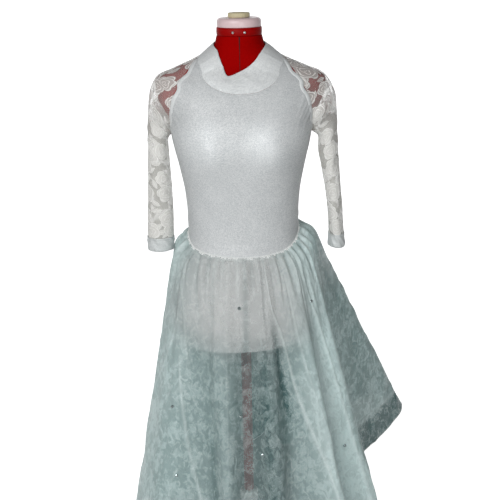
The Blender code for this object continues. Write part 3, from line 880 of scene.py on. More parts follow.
@dataclass(frozen=True)
class RoseLace:
    """Off-white roses and leaves worked on a fine stretch net."""

    name: str
    thread: Triple = (0.95, 0.94, 0.91)
    net: Triple = (0.74, 0.73, 0.69)
    rose_pitch: float = 0.05
    rose_radius: float = 0.0212
    petal_pitch: float = 0.0072
    leaf_pitch: float = 0.03
    rose_scatter: float = 0.62
    leaf_scatter: float = 0.8
    mesh_pitch: float = 0.0017
    net_cover: float = 0.31
    hanging_cover: float = 0.62
    line_width: float = 0.085

    @staticmethod
    def motif(graph: Graph, place: Socket, pitch: float, scatter: float) -> tuple[Wire, Wire, Wire]:
        """Across and up from the nearest motif's middle, in pitches, and its own random number.

        Args:
            graph: The material's nodes.
            place: Place on the flat lace.
            pitch: Distance between motifs, in metres.
            scatter: From 0, in rows, to 1, anywhere.

        Returns:
            The two distances, and the number from 0 to 1.
        """
        near = graph.node("ShaderNodeTexVoronoi", {"voronoi_dimensions": "2D"},
                          {"Vector": place, "Scale": 1.0 / pitch, "Randomness": scatter})
        scale = (1.0 / pitch,) * 3
        offset = graph.node("ShaderNodeVectorMath", {"operation": "SUBTRACT"},
                            {0: graph.stretched(place, scale),
                             1: graph.stretched(near.outputs["Position"], scale)}).outputs[0]
        x, y, _ = graph.parts(offset)
        return x, y, graph.wire("ShaderNodeSeparateColor", None, {0: near.outputs["Color"]})

    def rosettes(self, graph: Graph, place: Socket) -> tuple[Wire, Wire]:
        """Where roses are, and the cords that outline their petals.

        Args:
            graph: The material's nodes.
            place: Place on the flat lace.

        Returns:
            Both, from 0 to 1.
        """
        x, y, own = self.motif(graph, place, self.rose_pitch, self.rose_scatter)
        turn = graph.wire("ShaderNodeMath", {"operation": "ARCTAN2"}, {0: y, 1: x})
        radius = (x * x + y * y).root() * self.rose_pitch
        scallops = abs((turn * 2.5 + own * 6.3).sine())
        edge = self.rose_radius * (scallops * 0.2 + own * 0.16 + 0.78)
        inside = (radius / edge).step(1.03, 0.95)
        ripple = (turn * 3.0 + own * 9.0 + radius * 190.0).sine() * 0.26
        spiral = (radius / self.petal_pitch + turn * (1 / (2 * math.pi)) + ripple).fraction()
        cords = abs(spiral - 0.5).step(0.19, self.line_width)
        rim = (radius / edge).step(0.86, 0.92)
        return inside, cords.most(rim) * inside

    def leaves(self, graph: Graph, place: Socket) -> tuple[Wire, Wire]:
        """Where leaves are, and the cords along their edges and veins.

        Args:
            graph: The material's nodes.
            place: Place on the flat lace.

        Returns:
            Both, from 0 to 1.
        """
        x, y, own = self.motif(graph, place, self.leaf_pitch, self.leaf_scatter)
        turn = own * (2 * math.pi)
        cosine = (turn + math.pi / 2).sine()
        sine = turn.sine()
        along, across = x * cosine + y * sine, y * cosine - x * sine
        half = (1.0 - (along / 0.44) ** 2.0).most(0.0) * 0.21 - own.step(0.14, 0.06) * 0.3
        teeth = (along * 40.0).sine() * 0.016
        outside = abs(across) - half - teeth
        inside = outside.step(0.022, -0.022)
        vein = abs(across).step(0.045, 0.02)
        ribs = abs(((along - abs(across) * 0.9) * 4.0).fraction() - 0.5).step(0.15, 0.06)
        rim = outside.step(-0.065, -0.04)
        return inside, vein.most(ribs * 0.5).most(rim) * inside

    def build(self) -> Finish:
        """Make the material.

        Returns:
            The material.
        """
        graph = Graph(self.name, specular_ior_level=0.35)
        place = graph.cloth_place()
        wander = graph.noise(place, 0.03, 1.0)
        shifted = graph.node("ShaderNodeVectorMath", {"operation": "ADD"},
                             {0: place, 1: graph.node("ShaderNodeCombineXYZ", None, {
                                 0: wander * 0.006, 1: wander * 0.005}).outputs[0]}).outputs[0]
        rose, petal_lines = self.rosettes(graph, shifted)
        leaf, vein_lines = self.leaves(graph, shifted)
        leaf = leaf * (1.0 - rose)
        motif = rose.most(leaf)
        lines = petal_lines.most(vein_lines * (1.0 - rose))
        u, v, _ = graph.parts(place)
        turn = 2 * math.pi / self.mesh_pitch
        threads = (abs((u * turn + v * turn * 0.5).sine())
                   .least(abs((u * turn - v * turn * 0.5).sine()))).step(0.55, 0.15)
        worn = graph.vertex("over_form")
        net = (self.hanging_cover + worn * (self.net_cover - self.hanging_cover)) * (
            threads * 0.5 + 0.72)
        filled = motif * (0.9 - worn * 0.44)
        worked = filled.most(lines)
        graph.link(alpha=(net + worked * (1.0 - net)).least(0.98))
        stitches = (u * 5200.0 + v * 3100.0).sine() * 0.5 + 0.5
        shade = (motif * 0.3 + lines * 0.8).least(1.0) * (stitches * 0.12 + 0.88)
        graph.link(base_color=graph.mix(self.net, self.thread, shade),
                   roughness=0.64 - lines * 0.26)
        graph.link(normal=graph.bump(motif * 0.5 + lines * 0.7 + threads * 0.2, 0.0008, 0.9))
        return graph.material


@dataclass(frozen=True)
class Organza:
    """Sheer crisp organza, grey green, toned by painted light and shade, with painted highlights."""

    name: str
    # deep to light: tones picked by each point's paleness, partly painted shade and light; vein: painted
    # highlights
    deep: Triple = (0.062, 0.138, 0.138)
    light: Triple = (0.68, 0.84, 0.83)
    milky: Triple = (0.64, 0.655, 0.65)
    vein: Triple = (0.8, 0.9, 0.89)

    def build(self) -> Finish:
        """Make the material.

        Returns:
            The material.
        """
        graph = Graph(self.name, specular_ior_level=0.35, roughness=0.42)
        solid = graph.solid_place()
        tall = graph.stretched(solid, (1.0, 1.0, 0.55))
        cloud = graph.noise(tall, 0.036, 5.0, 0.9)
        blots = graph.noise(graph.stretched(solid, (1.0, 1.0, 0.7), (5.0, 3.0, 1.0)), 0.014, 4.0, 1.0)
        grain = graph.noise(graph.cloth_place(), 0.0022, 1.0)
        crumple = graph.noise(graph.stretched(solid, (1.0, 1.0, 0.62), (2.0, 7.0, 4.0)), 0.03, 3.0, 1.8)
        small = graph.noise(graph.stretched(solid, (1.0, 1.0, 0.6), (9.0, 4.0, 6.0)), 0.013, 3.0, 1.4)
        veins = abs(crumple - 0.5).step(0.026, 0.0).most(abs(small - 0.5).step(0.04, 0.0) * 0.8)
        pale = graph.vertex("pale")
        close = graph.vertex("close")
        ridge = graph.vertex("ridge")
        bright = graph.vertex("bright")
        # Blotches of painted highlight; each point's paleness holds painted light and shade
        highlight_blotch = (cloud * 0.45 + blots * 0.65 - 0.1).step(0.38, 0.54)
        shade = (pale * 0.88 + highlight_blotch * 0.24 + grain * 0.08 - 0.1).most(0.0).least(1.0)
        tone = graph.mix(graph.mix(self.deep, self.light, shade), self.milky,
                         bright * (highlight_blotch * 0.22 + 0.84))
        # Painted highlights along the crumples and fold ridges, and the far hem's pale line
        lines = (veins * (highlight_blotch * 0.34 + 0.08) + ridge * 0.55).least(1.0)
        graph.link(base_color=graph.mix(tone, self.vein, lines))
        graph.link(alpha=(close + ridge * 0.08).least(0.985))
        graph.link(normal=graph.bump(crumple + small * 0.5 + grain * 0.06, 0.005, 0.85))
        return graph.material


@dataclass(frozen=True)
class Threads:
    """White sewing: rolled hems, seam bands, gathered edges and stitches."""

    name: str
    tone: Triple = (0.8, 0.82, 0.81)
    pitch: float = 0.0024

    def build(self) -> Finish:
        """Make the material.

        Returns:
            The material.
        """
        graph = Graph(self.name, sheen_weight=0.25, specular_ior_level=0.3)
        place = graph.solid_place()
        fuzz = graph.noise(place, self.pitch, 3.0)
        shade = tuple(part * 0.78 for part in self.tone)
        graph.link(base_color=graph.mix(shade, self.tone, fuzz.step(0.25, 0.6)),
                   roughness=0.55 + fuzz * 0.25)
        graph.link(normal=graph.bump(fuzz, 0.0005, 0.7))
        return graph.material


@dataclass(frozen=True)
class Coating:
    """A smooth hard or fabric-covered surface of the form and its stand."""

    name: str
    tone: Triple
    worn: Triple
    roughness: float
    grain: float
    bump: float
    coat: float = 0.0
    metallic: float = 0.0
    gloss: float = 0.5

    def build(self) -> Finish:
        """Make the material.

        Returns:
            The material.
        """
        graph = Graph(self.name, coat_weight=self.coat, metallic=self.metallic,
                      coat_roughness=0.15, specular_ior_level=self.gloss)
        place = graph.solid_place()
        fine = graph.noise(place, self.grain, 3.0)
        broad = graph.noise(place, 0.06, 2.0)
        wear = (broad * 0.7 + fine * 0.5).step(0.5, 0.95)
        graph.link(base_color=graph.mix(self.tone, self.worn, wear),
                   roughness=self.roughness + fine * 0.12 + wear * 0.08)
        graph.link(normal=graph.bump(fine, self.bump, 0.6))
        return graph.material


# Place round the body, height, lean in degrees, length, width and depth
BODICE_CREASES = tuple(Crease(*row) for row in (
    (52, 1.262, 4, 0.03, 0.0045, 0.0013), (47, 1.25, 2, 0.034, 0.004, 0.0011),
    (42, 1.268, -3, 0.026, 0.0042, 0.0009), (58, 1.236, 8, 0.028, 0.005, 0.0012),
    (-50, 1.258, -6, 0.024, 0.005, 0.0008), (-57, 1.238, -9, 0.026, 0.005, 0.0009),
    (70, 1.205, 16, 0.026, 0.006, 0.0012), (-72, 1.204, -15, 0.024, 0.006, 0.0011),
    (22, 1.284, 12, 0.016, 0.006, 0.0006), (-24, 1.286, -12, 0.016, 0.006, 0.0006),
    (8, 0.948, 84, 0.034, 0.0055, 0.001), (-30, 0.956, 96, 0.028, 0.005, 0.0009),
    (44, 0.962, 80, 0.026, 0.005, 0.001), (-62, 0.976, 98, 0.024, 0.005, 0.0009),
    (80, 1.005, 74, 0.03, 0.006, 0.0009), (-84, 0.998, 104, 0.03, 0.006, 0.0009),
    (128, 1.236, -8, 0.028, 0.005, 0.0011), (-131, 1.241, 9, 0.026, 0.005, 0.001),
    (152, 1.262, -4, 0.024, 0.0055, 0.0008), (-148, 1.255, 5, 0.026, 0.0055, 0.0008),
    (165, 1.004, 84, 0.04, 0.0065, 0.0014), (-163, 1.018, 98, 0.038, 0.006, 0.0012),
    (178, 0.99, 92, 0.036, 0.0055, 0.001), (140, 0.998, 86, 0.028, 0.006, 0.001),
    (-138, 0.996, 95, 0.03, 0.006, 0.001),
))


@dataclass
class Bodice(Assembly):
    """The two bodice panels from the waist seam up to the raglan and neck seams."""

    rows: int = 168
    columns: int = 150
    full_levels: float = 2.0
    # Middle of the painted highlight on the knit, |x| and z, and how far it reaches
    painted_highlight_middle: Pair = (0.072, 1.188)
    painted_highlight_reach: Pair = (0.066, 0.048)

    def places(self, table: Table, side: int) -> tuple[Grid, Grid]:
        """Angles and heights of a panel, from its waist up to its neck.

        Args:
            table: The raglan seam.
            side: The side of the panel's first column, 1 towards +X.

        Returns:
            The angles and the heights.
        """
        level = np.linspace(0.0, self.full_levels, self.rows)
        turn = 360.0 if table is BACK_RAGLAN else 0.0
        start, start_z = panel_side(table, level, side)
        end, end_z = panel_side(table, level, -side)
        end = end + turn
        t = np.linspace(0.0, 1.0, self.columns)[None, :]
        angle = lerp(start[:, None], end[:, None], t)
        z = lerp(start_z[:, None], end_z[:, None], t)
        near_waist = ((1.0 - level / self.full_levels) ** 2)[:, None]
        for seam, share in ((WAIST_SEAM, near_waist), (NECK_SEAM, 1.0 - near_waist)):
            ends = lerp(seam_height(seam, start)[:, None], seam_height(seam, end)[:, None], t)
            z = z + share * (seam_height(seam, angle) - ends)
        z[-1] = seam_height(NECK_SEAM, angle[-1])
        return angle, z

    def stretch(self, grid: Grid) -> Grid:
        """Painted light on the knit: highlight over bust and shoulder blades, shade at sides and top.

        Args:
            grid: Points, rows by columns by 3.

        Returns:
            From 0, painted shade, to 1, painted highlight.
        """
        x, z = np.abs(grid[..., 0]), grid[..., 2]
        (middle_x, middle_z), (reach_x, reach_z) = self.painted_highlight_middle, self.painted_highlight_reach
        full = np.exp(-((x - middle_x) / reach_x) ** 2 - ((z - middle_z) / reach_z) ** 2)
        middle = 0.36 - 0.3 * smooth_step(0.085, 0.15, x)
        return np.clip(middle + 0.95 * full - 0.26 * smooth_step(1.2, 1.25, z), 0.0, 1.0)

    def panel(self, name: str, table: Table, side: int) -> None:
        """Make one panel.

        Args:
            name: The piece's name.
            table: The raglan seam.
            side: The side of its first column, 1 towards +X.
        """
        angle, z = self.places(table, side)
        away = FORM_TO_CLOTH + BODICE_WALL + creased(BODICE_CREASES, angle, z)
        grid = Body.off(angle, z, away)
        flat = flat_sheet(grid) - (0.2, 0.0)
        # Each point's share of painted highlight against painted shade
        made = self.maker.cloth(name, grid, flat, self.looks["shimmer"], "shimmer_stretch",
                                values={"stretch": self.stretch(grid).astype(np.float32)})
        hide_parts(name)

    def build(self) -> None:
        """Make the front and the back."""
        self.panel("bodice_front", FRONT_RAGLAN, -1)
        self.panel("bodice_back", BACK_RAGLAN, 1)


BAND_CREASES = tuple(Crease(*row) for row in (
    (-11, 1.33, 34, 0.026, 0.005, 0.001), (-5, 1.31, -6, 0.018, 0.0045, 0.0009),
    (3, 1.318, -40, 0.024, 0.005, 0.001), (-20, 1.34, 40, 0.024, 0.005, -0.0007),
    (14, 1.338, -52, 0.028, 0.006, -0.0006), (-38, 1.356, 36, 0.02, 0.007, 0.0006),
    (42, 1.358, -36, 0.022, 0.007, 0.0006), (-120, 1.38, 10, 0.012, 0.006, 0.0009),
    (150, 1.381, -8, 0.012, 0.006, 0.0009), (95, 1.374, 6, 0.012, 0.006, 0.0008),
))


@dataclass
class Neckband(Assembly):
    """The wide folded band round the neck, which dips off the middle in front."""

    columns: int = 288
    outer_rows: int = 30
    roll_rows: int = 8
    inner_rows: int = 6
    bulge: float = 0.0022
    inside_drop: float = 0.009
    inner_off: float = 0.0004
    # The dip's point: its angle, how wide it is and how deep
    point: Triple = (-6.0, 3.5, 0.0035)

    def build(self) -> None:
        """Make the band with its rolled top edge."""
        angle = np.linspace(-180.0, 180.0, self.columns, endpoint=False)
        low = seam_height(NECK_SEAM, angle)
        pinch = np.exp(-np.abs(angle - self.point[0]) / self.point[1])
        high = seam_height(NECKBAND_TOP, angle) - self.point[2] * pinch
        outer_off = FORM_TO_CLOTH + BAND_WALL
        thick = outer_off - self.inner_off
        rows = []
        for up in np.linspace(0.0, 1.0, self.outer_rows):
            z = lerp(low, high - thick / 2, up)
            off = outer_off + self.bulge * math.sin(math.pi * up) + creased(BAND_CREASES, angle, z)
            rows.append(Body.off(angle, z, off))
        for step in range(1, self.roll_rows):
            turn = math.pi * step / self.roll_rows
            off = self.inner_off + thick / 2 * (1.0 + math.cos(turn))
            rows.append(Body.off(angle, high - thick / 2 + thick / 2 * math.sin(turn),
                                 np.full(len(angle), off)))
        for step in range(self.inner_rows):
            down = self.inside_drop * step / (self.inner_rows - 1)
            rows.append(Body.off(angle, high - thick / 2 - down, np.full(len(angle), self.inner_off)))
        grid = np.array(rows)
        made = self.maker.cloth("neckband", grid, flat_ring(grid, 0.46), self.looks["band"],
                                "shimmer_stretch", ring=True)
        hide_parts("neckband")


@dataclass
class LowerLeotard(Assembly):
    """The leotard below the waist seam, seen through the skirt, with a straight hem."""

    hem_z: float = 0.708
    rows: int = 70
    columns: int = 120
    hem_fold: float = 0.0006
    slant: float = 0.014
    hem_band: float = 0.012
    # The gathers' marks in the knit: depth, how many in a half turn, and where they start
    ripples: tuple[float, float, float, float] = (0.0006, 23.0, 0.86, 0.93)

    def build(self) -> None:
        """Make the front and the back."""
        for name, start in (("lower_front", -90.0), ("lower_back", 90.0)):
            angle = np.linspace(start, start + 180.0, self.columns)[None, :]
            up = np.linspace(0.0, 1.0, self.rows)[:, None]
            hem_z = self.hem_z - self.slant * (0.5 - 0.5 * np.sin(np.radians(angle)))
            z = lerp(hem_z, seam_height(WAIST_SEAM, angle), up)
            band = smooth_step(self.hem_band, self.hem_band - 0.001, z - hem_z)
            depth, count, start_z, full_z = self.ripples
            folds = depth * np.sin(np.radians(angle) * count) * smooth_step(start_z, full_z, z)
            grid = Body.off(angle, z, FORM_TO_CLOTH + LOWER_WALL - self.hem_fold + band * self.hem_fold
                            + np.minimum(folds, 0.0))
            made = self.maker.cloth(name, grid, flat_sheet(grid), self.looks["lower"], "shimmer_stretch")
            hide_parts(name)


def raglan_angle(table: Table, side: int, level: int) -> Pair:
    """Angle and height of a raglan seam at a row, 0 at the armpit.

    Args:
        table: The raglan seam.
        side: 1 towards +X, -1 towards -X.
        level: The row of the seam.

    Returns:
        The angle in degrees and the height.
    """
    x, z = table[len(table) - 1 - level]
    angle = float(Body.angle_of(x, z)) if level else 90.0
    return side * (180.0 - angle if table is BACK_RAGLAN else angle), z


# As on a body, but round the left sleeve; the right one has them the other way round
SLEEVE_FOLDS = tuple(Crease(*row) for row in (
    (0.3, 1.175, 38, 0.04, 0.006, 0.002), (0.38, 1.15, 52, 0.034, 0.006, -0.0018),
    (0.22, 1.128, 30, 0.05, 0.007, 0.0018), (0.62, 1.165, -40, 0.04, 0.007, 0.0018),
    (0.72, 1.12, -24, 0.05, 0.007, -0.0016), (0.34, 1.066, 12, 0.055, 0.006, 0.0014),
    (0.2, 1.04, -14, 0.05, 0.006, -0.0014), (0.66, 1.05, 16, 0.055, 0.007, 0.0014),
    (0.3, 0.985, 8, 0.035, 0.0055, 0.0012), (0.18, 0.972, -10, 0.03, 0.005, 0.0012),
    (0.7, 0.98, 10, 0.034, 0.006, -0.0012), (0.46, 1.205, 62, 0.022, 0.006, 0.0014),
))


@dataclass
class Sleeve(Assembly):
    """A raglan sleeve of lace: a hanging tube that opens over the shoulder."""

    side: int
    columns: int = 110
    steps: int = 15
    last_level: int = len(FRONT_RAGLAN) - 1
    girth: float = 0.15
    right_shift: float = 0.05
    plain_edge: float = 0.06
    # Where the right sleeve lies on the lace, so that its roses differ from the left one's
    lace_shift: float = 0.31
    # Heights between which the lace comes to lie on the form
    on_form: Pair = (1.225, 1.262)

    @property
    def hand(self) -> str:
        """The side's name in the record."""
        return "left_of_view" if self.side < 0 else "right_of_view"

    def hanging(self, start: Grid, end: Grid, outer: Grid, half_depth: float) -> Grid:
        """Points from start round the outer point to end, on part of an oval.

        Args:
            start: The row's first point.
            end: The row's last point.
            outer: The point farthest out.
            half_depth: Half of the oval's depth.

        Returns:
            The row's points.
        """
        middle = (start + end) / 2
        half = float(np.linalg.norm(start - end)) / 2
        across = unit(start - end) if half > 1e-5 else np.array((0.0, -self.side, 0.0))
        half_depth = max(half_depth, half)
        opening = math.asin(min(half / half_depth, 1.0))
        outward = outer - middle
        reach = float(np.linalg.norm(outward)) / (1.0 + math.cos(opening))
        outward = unit(outward)
        centre = middle + outward * reach * math.cos(opening)
        turn = np.linspace(opening, 2 * math.pi - opening, self.columns)[:, None]
        return centre - outward * reach * np.cos(turn) + across * half_depth * np.sin(turn)

    def tube_row(self, values: Sequence[float]) -> Grid:
        """A level ring of the hanging sleeve.

        Args:
            values: A row of the sleeve or the cuff.

        Returns:
            The ring's points.
        """
        inner_z, outer_z, half_depth, middle_y = values[:4]
        inner_x, outer_x = values[4:6] if self.side < 0 else values[6:8]
        inner = np.array((self.side * inner_x, middle_y, inner_z))
        outer = np.array((self.side * outer_x, middle_y, outer_z))
        return self.hanging(inner, inner, outer, half_depth)

    def yoke_row(self, level: int) -> Grid:
        """A row over the shoulder, which rests on the form or hangs by itself.

        Args:
            level: The row, 0 at the armpit.

        Returns:
            The row's points.
        """
        outer_z, left_x, right_x, half_depth, hang = YOKE_ROWS[len(YOKE_ROWS) - 1 - level]
        front = raglan_angle(FRONT_RAGLAN, self.side, level)
        back = raglan_angle(BACK_RAGLAN, self.side, level)
        start, end = (front, back) if self.side > 0 else (back, front)
        t = np.linspace(0.0, 1.0, self.columns)
        angle = lerp(start[0], end[0], t)
        hump = outer_z - (start[1] + end[1]) / 2
        z = lerp(start[1], end[1], t) + hump * np.sin(math.pi * t)
        if level == self.last_level:
            z = seam_height(NECK_SEAM, angle)
        resting = Body.off(angle, z, FORM_TO_CLOTH)
        outer_x = left_x if self.side < 0 else right_x
        outer = np.array((self.side * outer_x, (resting[0, 1] + resting[-1, 1]) / 2, outer_z))
        free = self.hanging(resting[0], resting[-1], outer, half_depth)
        return lerp(resting, free, hang)

    def grid(self) -> Grid:
        """The sleeve's inner side, from the cuff seam up to the neck seam.

        Returns:
            Points, rows by columns by 3.
        """
        rows = [self.tube_row(values) for values in reversed(SLEEVE_ROWS)]
        rows += [self.yoke_row(level) for level in range(self.last_level + 1)]
        return between(np.array(rows), self.steps)

    def build(self) -> Piece:
        """Make the sleeve with its soft folds.

        Returns:
            The sleeve.
        """
        grid = self.grid()
        normals = grid_normals(grid)
        t = np.linspace(0.0, 1.0, self.columns)[None, :]
        z = grid[..., 2]
        rise = np.zeros(z.shape)
        for fold in SLEEVE_FOLDS:
            if self.side > 0:
                fold = replace(fold, place=1.0 - fold.place + self.right_shift, lean=-fold.lean)
            rise = rise + fold.rise((t - fold.place) * self.girth, z - fold.z)
        edge = smooth_step(0.0, self.plain_edge, np.minimum(t, 1.0 - t))
        grid = grid + normals * (LACE_WALL + rise * edge)[..., None]
        up = lengths_along(grid, 0)[:, self.columns // 2][:, None].repeat(self.columns, 1)
        around = lengths_along(grid, 1)
        around = around - around[:, -1:] / 2
        shift = self.lace_shift if self.side > 0 else 0.0
        worn = smooth_step(*self.on_form, z).astype(np.float32)
        made = self.maker.cloth(f"sleeve_{self.hand}", grid, np.stack((around + shift, up), -1),
                                self.looks["lace"], "rose_lace", values={"over_form": worn})
        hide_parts(f"sleeve_{self.hand}")
        return made


def between(rows: Grid, steps: int) -> Grid:
    """More rows on smooth curves through the rows that are given.

    Args:
        rows: Rows of points.
        steps: New rows for each one that is given.

    Returns:
        All the rows.
    """
    padded = np.concatenate((2 * rows[:1] - rows[1:2], rows, 2 * rows[-1:] - rows[-2:-1]))
    more = [curve(padded[i:i + 4], t) for i in range(len(rows) - 1) for t in np.arange(steps) / steps]
    return np.array(more + [rows[-1]])


@dataclass
class Cuff(Sleeve):
    """A narrow stretch cuff with a tuck at its top and creases across it."""

    columns: int = 120
    steps: int = 14
    wall: float = 0.002
    inner: float = 0.0004
    # Height, half width and depth of the tuck, and the depth of the creases
    tuck: Triple = (0.9475, 0.0016, 0.0012)
    ruck: float = 0.0011
    # Depth and heights of the eased lower end
    end: Triple = (0.0014, 0.925, 0.9205)

    def build(self) -> Piece:
        """Make the cuff with its lower edge turned in.

        Returns:
            The cuff.
        """
        rows = between(np.array([self.tube_row(values) for values in reversed(CUFF_ROWS)]),
                       self.steps)[:, :-1]
        normals = grid_normals(rows, ring=True)
        z = rows[..., 2]
        turn = np.linspace(0.0, 2 * math.pi, rows.shape[1], endpoint=False)[None, :]
        tuck_z, tuck_width, tuck_depth = self.tuck
        tuck = -tuck_depth * np.exp(-((z - tuck_z) / tuck_width) ** 2)
        ruck = self.ruck * np.sin(turn * 7.0 + z * 260.0) * np.sin(turn * 3.0 + 1.0)
        end_depth, end_start, end_full = self.end
        end = -end_depth * smooth_step(end_start, end_full, z)
        grid = rows + normals * (self.wall + tuck + ruck + end)[..., None]
        under = rows + normals * self.inner
        grid = np.concatenate((under[6:0:-2], grid), axis=0)
        made = self.maker.cloth(f"cuff_{self.hand}", grid, flat_ring(grid, 0.15),
                                self.looks["cuff"], "cuff_stretch", ring=True)
        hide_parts(f"cuff_{self.hand}")
        f"sleeve_{self.hand}"
        return made


# Ridges of the skirt, raised and painted with a highlight, and troughs, sunk and painted with
# shade: width in folds, strength, then the level and the place that the line passes on its way down
HIGHLIT_RIDGES = (
    (0.05, 1.0, ((0.0, 1.1), (0.12, 1.2), (0.25, 1.9), (0.4, 2.2), (0.8, 2.9), (1.1, 3.1))),
    (0.04, 0.55, ((0.1, 2.5), (0.3, 2.6), (0.45, 2.8), (0.65, 3.2))),
    (0.045, 0.65, ((0.05, 3.9), (0.25, 4.4), (0.5, 4.6), (1.1, 4.8))),
    (0.045, 0.5, ((0.05, 20.8), (0.15, 21.2), (0.35, 21.5))),
    (0.04, 0.6, ((0.2, 21.0), (0.35, 20.6), (0.5, 20.1), (0.6, 19.8))),
    (0.04, 0.7, ((0.35, 21.2), (0.6, 21.5), (0.8, 21.8), (0.95, 21.9))),
    (0.05, 0.35, ((0.3, 23.2), (0.6, 23.1))), (0.07, 0.6, ((0.0, 23.7), (0.1, 23.7))),
    (0.07, 0.5, ((0.0, 20.8), (0.1, 21.2))), (0.06, 0.55, ((0.0, 0.5), (0.1, 0.6))),
    (0.07, 0.4, ((0.0, 2.6), (0.15, 2.8))),
    (0.26, 0.36, ((0.4, 2.6), (0.8, 3.1), (1.1, 3.4))), (0.3, 0.28, ((0.7, 1.6), (1.1, 1.8))),
    (0.25, 0.26, ((0.3, 4.0), (0.65, 4.2))),
    (0.2, 0.22, ((0.3, 20.4), (0.6, 20.2), (0.9, 20.3))),
    (0.09, 0.3, ((0.0, 6.4), (0.3, 6.3), (0.5, 6.5))),
    (0.1, 0.34, ((0.2, 8.1), (0.6, 8.4), (1.1, 8.2))),
    (0.09, 0.4, ((0.0, 10.3), (0.2, 10.6), (0.35, 10.5))),
    (0.08, 0.4, ((0.15, 12.0), (0.5, 12.4), (0.9, 12.1))), (0.11, 0.45, ((0.0, 13.2), (0.2, 13.1))),
    (0.1, 0.36, ((0.1, 14.2), (0.5, 13.7), (0.85, 14.0))), (0.1, 0.4, ((0.0, 15.1), (0.25, 15.3))),
    (0.12, 0.36, ((0.2, 16.0), (0.45, 16.3), (0.75, 16.1))), (0.11, 0.42, ((0.0, 17.2), (0.2, 17.0))),
    (0.09, 0.34, ((0.2, 18.3), (0.6, 17.8), (0.9, 18.0))),
)
SHADOWS = (
    (0.12, 0.8, ((0.0, 24.0), (0.15, 24.0), (0.35, 23.9))),
    (0.12, 0.45, ((0.0, 22.7), (0.1, 22.6), (0.25, 22.5))),
    (0.1, 0.4, ((0.0, 21.7), (0.2, 21.9))), (0.11, 0.45, ((0.0, 0.9), (0.2, 0.8))),
    (0.26, 1.0, ((0.2, 1.3), (0.4, 1.7), (0.55, 2.0))),
    (0.16, 0.6, ((0.6, 4.9), (0.85, 5.0))), (0.16, 0.45, ((0.25, 0.6), (0.6, 0.7), (1.1, 0.8))),
    (0.2, 0.5, ((0.6, 22.3), (1.1, 22.4))), (0.18, 0.4, ((0.05, 5.2), (0.4, 5.4), (0.85, 5.6))),
    (0.15, 0.25, ((0.1, 7.2), (0.4, 7.6), (0.8, 7.5))), (0.18, 0.45, ((0.1, 9.1), (0.7, 9.0))),
    (0.18, 0.5, ((0.05, 11.1), (0.4, 11.4), (0.85, 11.2))), (0.16, 0.45, ((0.1, 13.0), (0.75, 12.9))),
    (0.18, 0.5, ((0.05, 15.0), (0.5, 15.3), (0.9, 15.1))), (0.16, 0.4, ((0.1, 17.0), (0.7, 17.2))),
    (0.18, 0.35, ((0.1, 19.0), (0.8, 19.1))),
)


